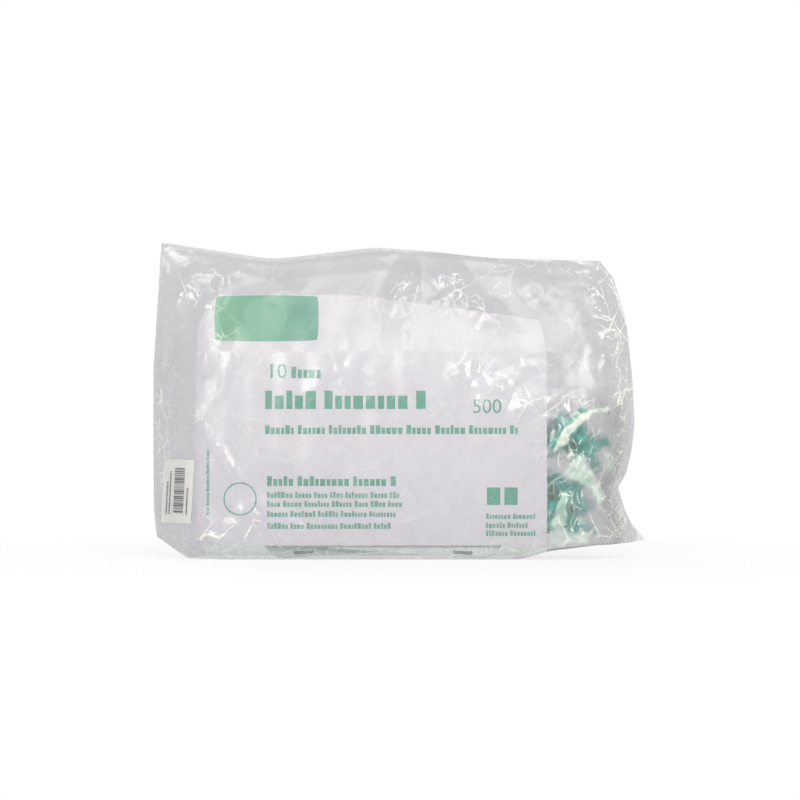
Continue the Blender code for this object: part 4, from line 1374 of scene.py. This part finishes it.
class MakeInsert(bpy.types.Operator):
    """Make the printed paper insert, with plain blocks where its words are"""
    bl_idname = "leg_bag_pack.make_insert"
    bl_label = "Printed insert"

    def execute(self, context):
        look = context.scene.print_look
        self.make_sheet(look)
        self.make_print(look)
        self.make_block(look)
        return {"FINISHED"}

    def make_sheet(self, look):
        """The paper, with worn corners at its head."""
        def place(across, up):
            z = SHEET_BOTTOM + up * (sheet_top(across) - SHEET_BOTTOM)
            left, right = (
                cut * max(0.0, 1.0 - (sheet_top(across) - z) / reach) ** power
                for cut, reach, power in SHEET_CORNERS
            )
            left -= SHEET_SIDE_BOW * math.sin(math.pi * up)
            x = SHEET_LEFT + left + across * (SHEET_WIDTH - left - right)
            return on_sheet(x, z, 0.0)

        sheet = mesh_of("insert", thin_sheet(SHEET_CELLS, place, SHEET_THICKNESS))
        piece(
            "paper_insert", sheet, [paper_material("insert_paper", look.paper[:3])], "pack",
            "paper", "insert_sheet",
        )

    def make_print(self, look):
        """Lines of plain blocks, the two numbers, the ring and the two squares."""
        draw = random.Random(4)
        strong = bmesh.new()
        small = bmesh.new()
        faint = bmesh.new()
        lines = (
            (strong, 265, 409, 430, 0.0080), (small, 291, 378, 327, 0.0050),
            (small, 265, 434, 522, 0.0038), (small, 267, 486, 401, 0.0042),
            (faint, 267, 498, 400, 0.0026), (faint, 267, 507, 402, 0.0026),
            (faint, 267, 517, 396, 0.0026), (faint, 267, 529, 392, 0.0026),
            (faint, 486, 519, 536, 0.0024), (faint, 486, 528, 530, 0.0024),
            (faint, 486, 536, 536, 0.0024),
        )
        for target, left, low, right, height in lines:
            x, z = spot(left, low)
            plain_words(target, x, z, spot(right, low)[0], height, draw, on_sheet)
        foot = spot(209, 515)

        def upwards(run, rise):
            return on_sheet(foot[0] - rise, foot[1] + run)

        plain_words(faint, 0.0, 0.0, 0.039, 0.0015, draw, upwards)
        for value, x_pixel, low, tall in (("10", 266, 378, 0.0092), ("500", 472, 413, 0.0088)):
            self.numerals(strong if value == "10" else small, value, *spot(x_pixel, low), tall)
        ring = [
            vertex for radius in (0.0100, 0.0092)
            for vertex in bmesh.ops.create_circle(faint, segments=48, radius=radius)["verts"]
        ]
        rims = list({edge for vertex in ring for edge in vertex.link_edges})
        bmesh.ops.bridge_loops(faint, edges=rims)
        middle = spot(240, 499)
        for vertex in ring:
            vertex.co = on_sheet(middle[0] + vertex.co.x, middle[1] + vertex.co.y)
        left, low = spot(487, 505)
        for shift in (0.0, 0.0105):
            patch(small, left + shift, low, left + shift + 0.008, low + 0.0105, on_sheet)
        for name, bm, fade in (
            ("strong_print", strong, 0.19), ("small_print", small, 0.28), ("faint_print", faint, 0.50),
        ):
            mesh = mesh_of(name, facing_front(bm))
            piece(name, mesh, [ink_material(name, look.ink[:3], fade)], "pack", "paper")

    def make_block(self, look):
        """The coloured block at the head, with slightly bowed sides."""
        block = bmesh.new()
        left, low = spot(213, 341)
        right, high = spot(318, 294)

        def bowed(across, up):
            across, up = (across - 0.5) * 2.0, (up - 0.5) * 2.0
            bow = 0.93 + 0.07 * math.sqrt(max(0.0, 1.0 - across ** 2))
            side = 0.96 + 0.04 * math.sqrt(max(0.0, 1.0 - up ** 2))
            x = (left + right) / 2 + across * side * (right - left) / 2
            z = (low + high) / 2 + up * bow * (high - low) / 2
            return on_sheet(x, z)

        grid(block, *BLOCK_CELLS, bowed)
        mesh = mesh_of("print_block", facing_front(block))
        piece("print_block", mesh, [field_material(look)], "pack", "paper")

    def numerals(self, bm, value, left, low, tall):
        """Plain numbers laid on the insert."""
        text = bpy.data.curves.new("numerals", "FONT")
        text.body = value
        text.size = tall / 0.73
        text.resolution_u = 4
        mesh = baked(placed("numerals", text))
        before = set(bm.verts)
        bm.from_mesh(mesh)
        for vertex in bm.verts:
            if vertex not in before:
                vertex.co = on_sheet(left + vertex.co.x, low + vertex.co.y)
        bpy.data.meshes.remove(mesh)


class MakeSticker(bpy.types.Operator):
    """Make the white sticker on the film, with a plain stack of bars"""
    bl_idname = "leg_bag_pack.make_sticker"
    bl_label = "Sticker"

    def execute(self, context):
        look = context.scene.print_look

        def on_label(across, up, lift=LABEL_LIFT + LABEL_THICKNESS + INK_LIFT):
            back, facing = label_place(across, up)
            return back + facing * lift

        def label_front(across, up):
            return on_label(across, up, LABEL_LIFT + LABEL_THICKNESS)

        sheet = thin_sheet(LABEL_CELLS, label_front, LABEL_THICKNESS)
        material = paper_material("sticker_paper", look.label[:3])
        piece("sticker", mesh_of("sticker", sheet), [material], "pack", "label", "barcode_label")
        draw = random.Random(8)
        bm = bmesh.new()
        up = 0.16
        while up < 0.86:
            tall = draw.choice((0.006, 0.006, 0.012, 0.018))
            patch(bm, 0.40, up, 0.74, up + tall, on_label, 0.2)
            up += tall + draw.choice((0.007, 0.007, 0.013))
        for left, tops in ((0.14, 0.62), (0.24, 0.80), (0.82, 0.55)):
            up = 0.14
            while up < tops:
                tall = draw.uniform(0.008, 0.022)
                patch(bm, left, up, left + 0.055, up + tall, on_label, 0.2)
                up += tall + 0.010
        mesh = mesh_of("sticker_print", facing_front(bm))
        ink = ink_material("sticker_ink", (0.05, 0.05, 0.055), 0.10)
        piece("sticker_print", mesh, [ink], "pack", "label")
        return {"FINISHED"}


class MakeLegBags(bpy.types.Operator):
    """Make the ten welded leg bags with their inlet stubs and outlet tubes"""
    bl_idname = "leg_bag_pack.make_leg_bags"
    bl_label = "Leg bags"

    def execute(self, context):
        look = context.scene.contents_look
        film = plastic("bag_film", look.bag[:3], 0.92, 1.06, 0.24, 60.0, 0.00025)
        fleece = fleece_material(look)
        tube = plastic("soft_tube", look.tube[:3], 0.92, 1.06, 0.22, 150.0, 0.00003, 0.2)
        body = bag_body_mesh()
        edge = BAG_LENGTH / 2
        for index in range(BAG_COUNT):
            bag = bag_matrix(index)
            bm = bmesh.new()
            bm.from_mesh(body)
            bmesh.ops.transform(bm, matrix=bag, verts=bm.verts)
            stub = [bag @ Vector((x, 0.0, 0.0)) for x in (TUBE_WELD_DEPTH - edge, -edge - STUB_LENGTH)]
            for route in (stub, outlet_route(bag, tap_matrix(index))):
                before = set(bm.faces)
                bm.from_mesh(tube_mesh(route))
                for face in bm.faces:
                    if face not in before:
                        face.material_index = 2
            bmesh.ops.recalc_face_normals(bm, faces=bm.faces)
            number = f"{index + 1:02d}"
            piece(
                f"bag_{number}", mesh_of("bag", bm), [film, fleece, tube], "pack", "bag_film",
                f"leg_bag_{number}",
            )
        bpy.data.meshes.remove(body)
        return {"FINISHED"}


class MakeFittings(bpy.types.Operator):
    """Make the connectors, their caps, and the green taps with their sliding bars"""
    bl_idname = "leg_bag_pack.make_fittings"
    bl_label = "Connectors and taps"

    def execute(self, context):
        look = context.scene.contents_look
        clear = plastic("connector_plastic", look.connector[:3], 0.94, 1.05, 0.28, 220.0, 0.00002, 0.3)
        milky = plastic("cap_plastic", look.cap[:3], 0.95, 1.04, 0.38, 220.0, 0.00002, 0.3)
        green = plastic("tap_plastic", look.tap[:3], 0.85, 1.15, 0.30, 180.0, 0.00003, 0.05)
        bright = plastic("slide_plastic", look.slide[:3], 0.85, 1.15, 0.28, 180.0, 0.00003, 0.05)
        connector = mesh_of("connector", connector_bm(), ROUND_SHARP)
        cap = mesh_of("cap", cap_bm(), ROUND_SHARP)
        tap = tap_body_mesh()
        slide = mesh_of("slide", slide_bm(), ROUND_SHARP)
        inlet = Matrix.Translation((-BAG_LENGTH / 2 - SEAT_ON_STUB, 0.0, 0.0))
        inlet = inlet @ Matrix.Rotation(-math.pi / 2, 4, "Y")
        bar = Matrix.Translation((0.0, 0.0, HOUSING_FROM_INLET)) @ Matrix.Rotation(math.pi / 2, 4, "Y")
        for index in range(BAG_COUNT):
            number = f"{index + 1:02d}"
            at_inlet = bag_matrix(index) @ inlet
            at_tap = tap_matrix(index)
            for name, mesh, matrix, material, body, slot, node in (
                ("connector", connector, at_inlet, clear, "pack", "connector", "inlet_connector"),
                ("cap", cap, at_inlet, milky, "pack", "cap", "connector_cap"),
                ("tap", tap, at_tap, green, "pack", "tap_green", "tap_body"),
                ("bar", slide, at_tap @ bar, bright, f"slide_{number}", "slide_green", "tap_slide"),
            ):
                copy = mesh.copy()
                copy.transform(matrix)
                piece(f"{name}_{number}", copy, [material], body, slot, f"{node}_{number}")
        return {"FINISHED"}


class MakeStage(bpy.types.Operator):
    """Make the pale floor and backdrop, the soft lamps and the camera"""
    bl_idname = "leg_bag_pack.make_stage"
    bl_label = "Stage"

    def execute(self, context):
        look = context.scene.stage_look
        scene = context.scene
        upright = Matrix.Translation(BACKDROP_PLACE) @ Matrix.Rotation(math.pi / 2, 4, "X")
        for name, matrix, lit_share in (
            ("floor", Matrix.Identity(4), 0.25), ("backdrop", upright, 0.0),
        ):
            bm = bmesh.new()
            bmesh.ops.create_grid(bm, x_segments=1, y_segments=1, size=STAGE_REACH, matrix=matrix)
            plane = placed(name, mesh_of(name, bm))
            plane.data.materials.append(stage_material(f"{name}_white", lit_share))
        target = Vector(AIM)
        for name, place, wide, share, colour in LAMPS:
            lamp = bpy.data.lights.new(name, "AREA")
            lamp.shape = "DISK"
            lamp.size = wide
            lamp.energy = look.lamp_power * share
            lamp.color = colour
            item = placed(name, lamp)
            item.location = place
            item.rotation_mode = "QUATERNION"
            item.rotation_quaternion = (target - Vector(place)).to_track_quat("-Z", "Y")
        world = bpy.data.worlds.new("pale_room")
        scene.world = world
        world.use_nodes = True
        tree = world.node_tree
        tree.nodes.clear()
        strength = span(tree, seen_by(tree), ROOM_LIGHT, 1.0)
        sky = add_node(tree, "ShaderNodeBackground", {"Color": (1.0, 1.0, 1.0, 1.0), "Strength": strength})
        output = tree.nodes.new("ShaderNodeOutputWorld")
        tree.links.new(sky.outputs[0], output.inputs["Surface"])
        camera = bpy.data.cameras.new("camera")
        camera.sensor_width = SENSOR_WIDTH
        camera.lens = SENSOR_WIDTH * look.distance / look.frame_width
        item = placed("camera", camera)
        item.location = (CAMERA_X, -look.distance - HALF_DEPTH, target.z)
        item.rotation_euler = (math.pi / 2, 0.0, 0.0)
        scene.camera = item
        scene.view_settings.view_transform = "Standard"
        return {"FINISHED"}


class PackPanel(bpy.types.Panel):
    """Sidebar panel of the leg bag pack"""
    bl_idname = "VIEW3D_PT_leg_bag_pack"
    bl_label = "Leg Bag Pack"
    bl_space_type = "VIEW_3D"
    bl_region_type = "UI"
    bl_category = "Leg Bag Pack"

    def draw(self, context):
        layout = self.layout
        for group in ("film_look", "print_look", "contents_look", "stage_look"):
            settings = getattr(context.scene, group)
            box = layout.box()
            for name in settings.bl_rna.properties.keys():
                if name not in ("rna_type", "name"):
                    box.prop(settings, name)
        for operator in OPERATORS:
            layout.operator(operator.bl_idname)


LOOKS = (
    ("film_look", FilmLook), ("print_look", PrintLook), ("contents_look", ContentsLook),
    ("stage_look", StageLook),
)
OPERATORS = (MakeLegBags, MakeFittings, MakeInsert, MakeFilm, MakeSticker, MakeStage)


def register():
    for name, look in LOOKS:
        bpy.utils.register_class(look)
        setattr(bpy.types.Scene, name, PointerProperty(type=look))
    for item in (*OPERATORS, PackPanel):
        bpy.utils.register_class(item)


def unregister():
    for item in reversed((*OPERATORS, PackPanel)):
        bpy.utils.unregister_class(item)
    for name, look in reversed(LOOKS):
        delattr(bpy.types.Scene, name)
        bpy.utils.unregister_class(look)


def main():
    register()
    bpy.ops.leg_bag_pack.make_leg_bags()
    bpy.ops.leg_bag_pack.make_fittings()
    bpy.ops.leg_bag_pack.make_insert()
    bpy.ops.leg_bag_pack.make_film()
    bpy.ops.leg_bag_pack.make_sticker()
    bpy.ops.leg_bag_pack.make_stage()


if __name__ == "__main__":
    main()
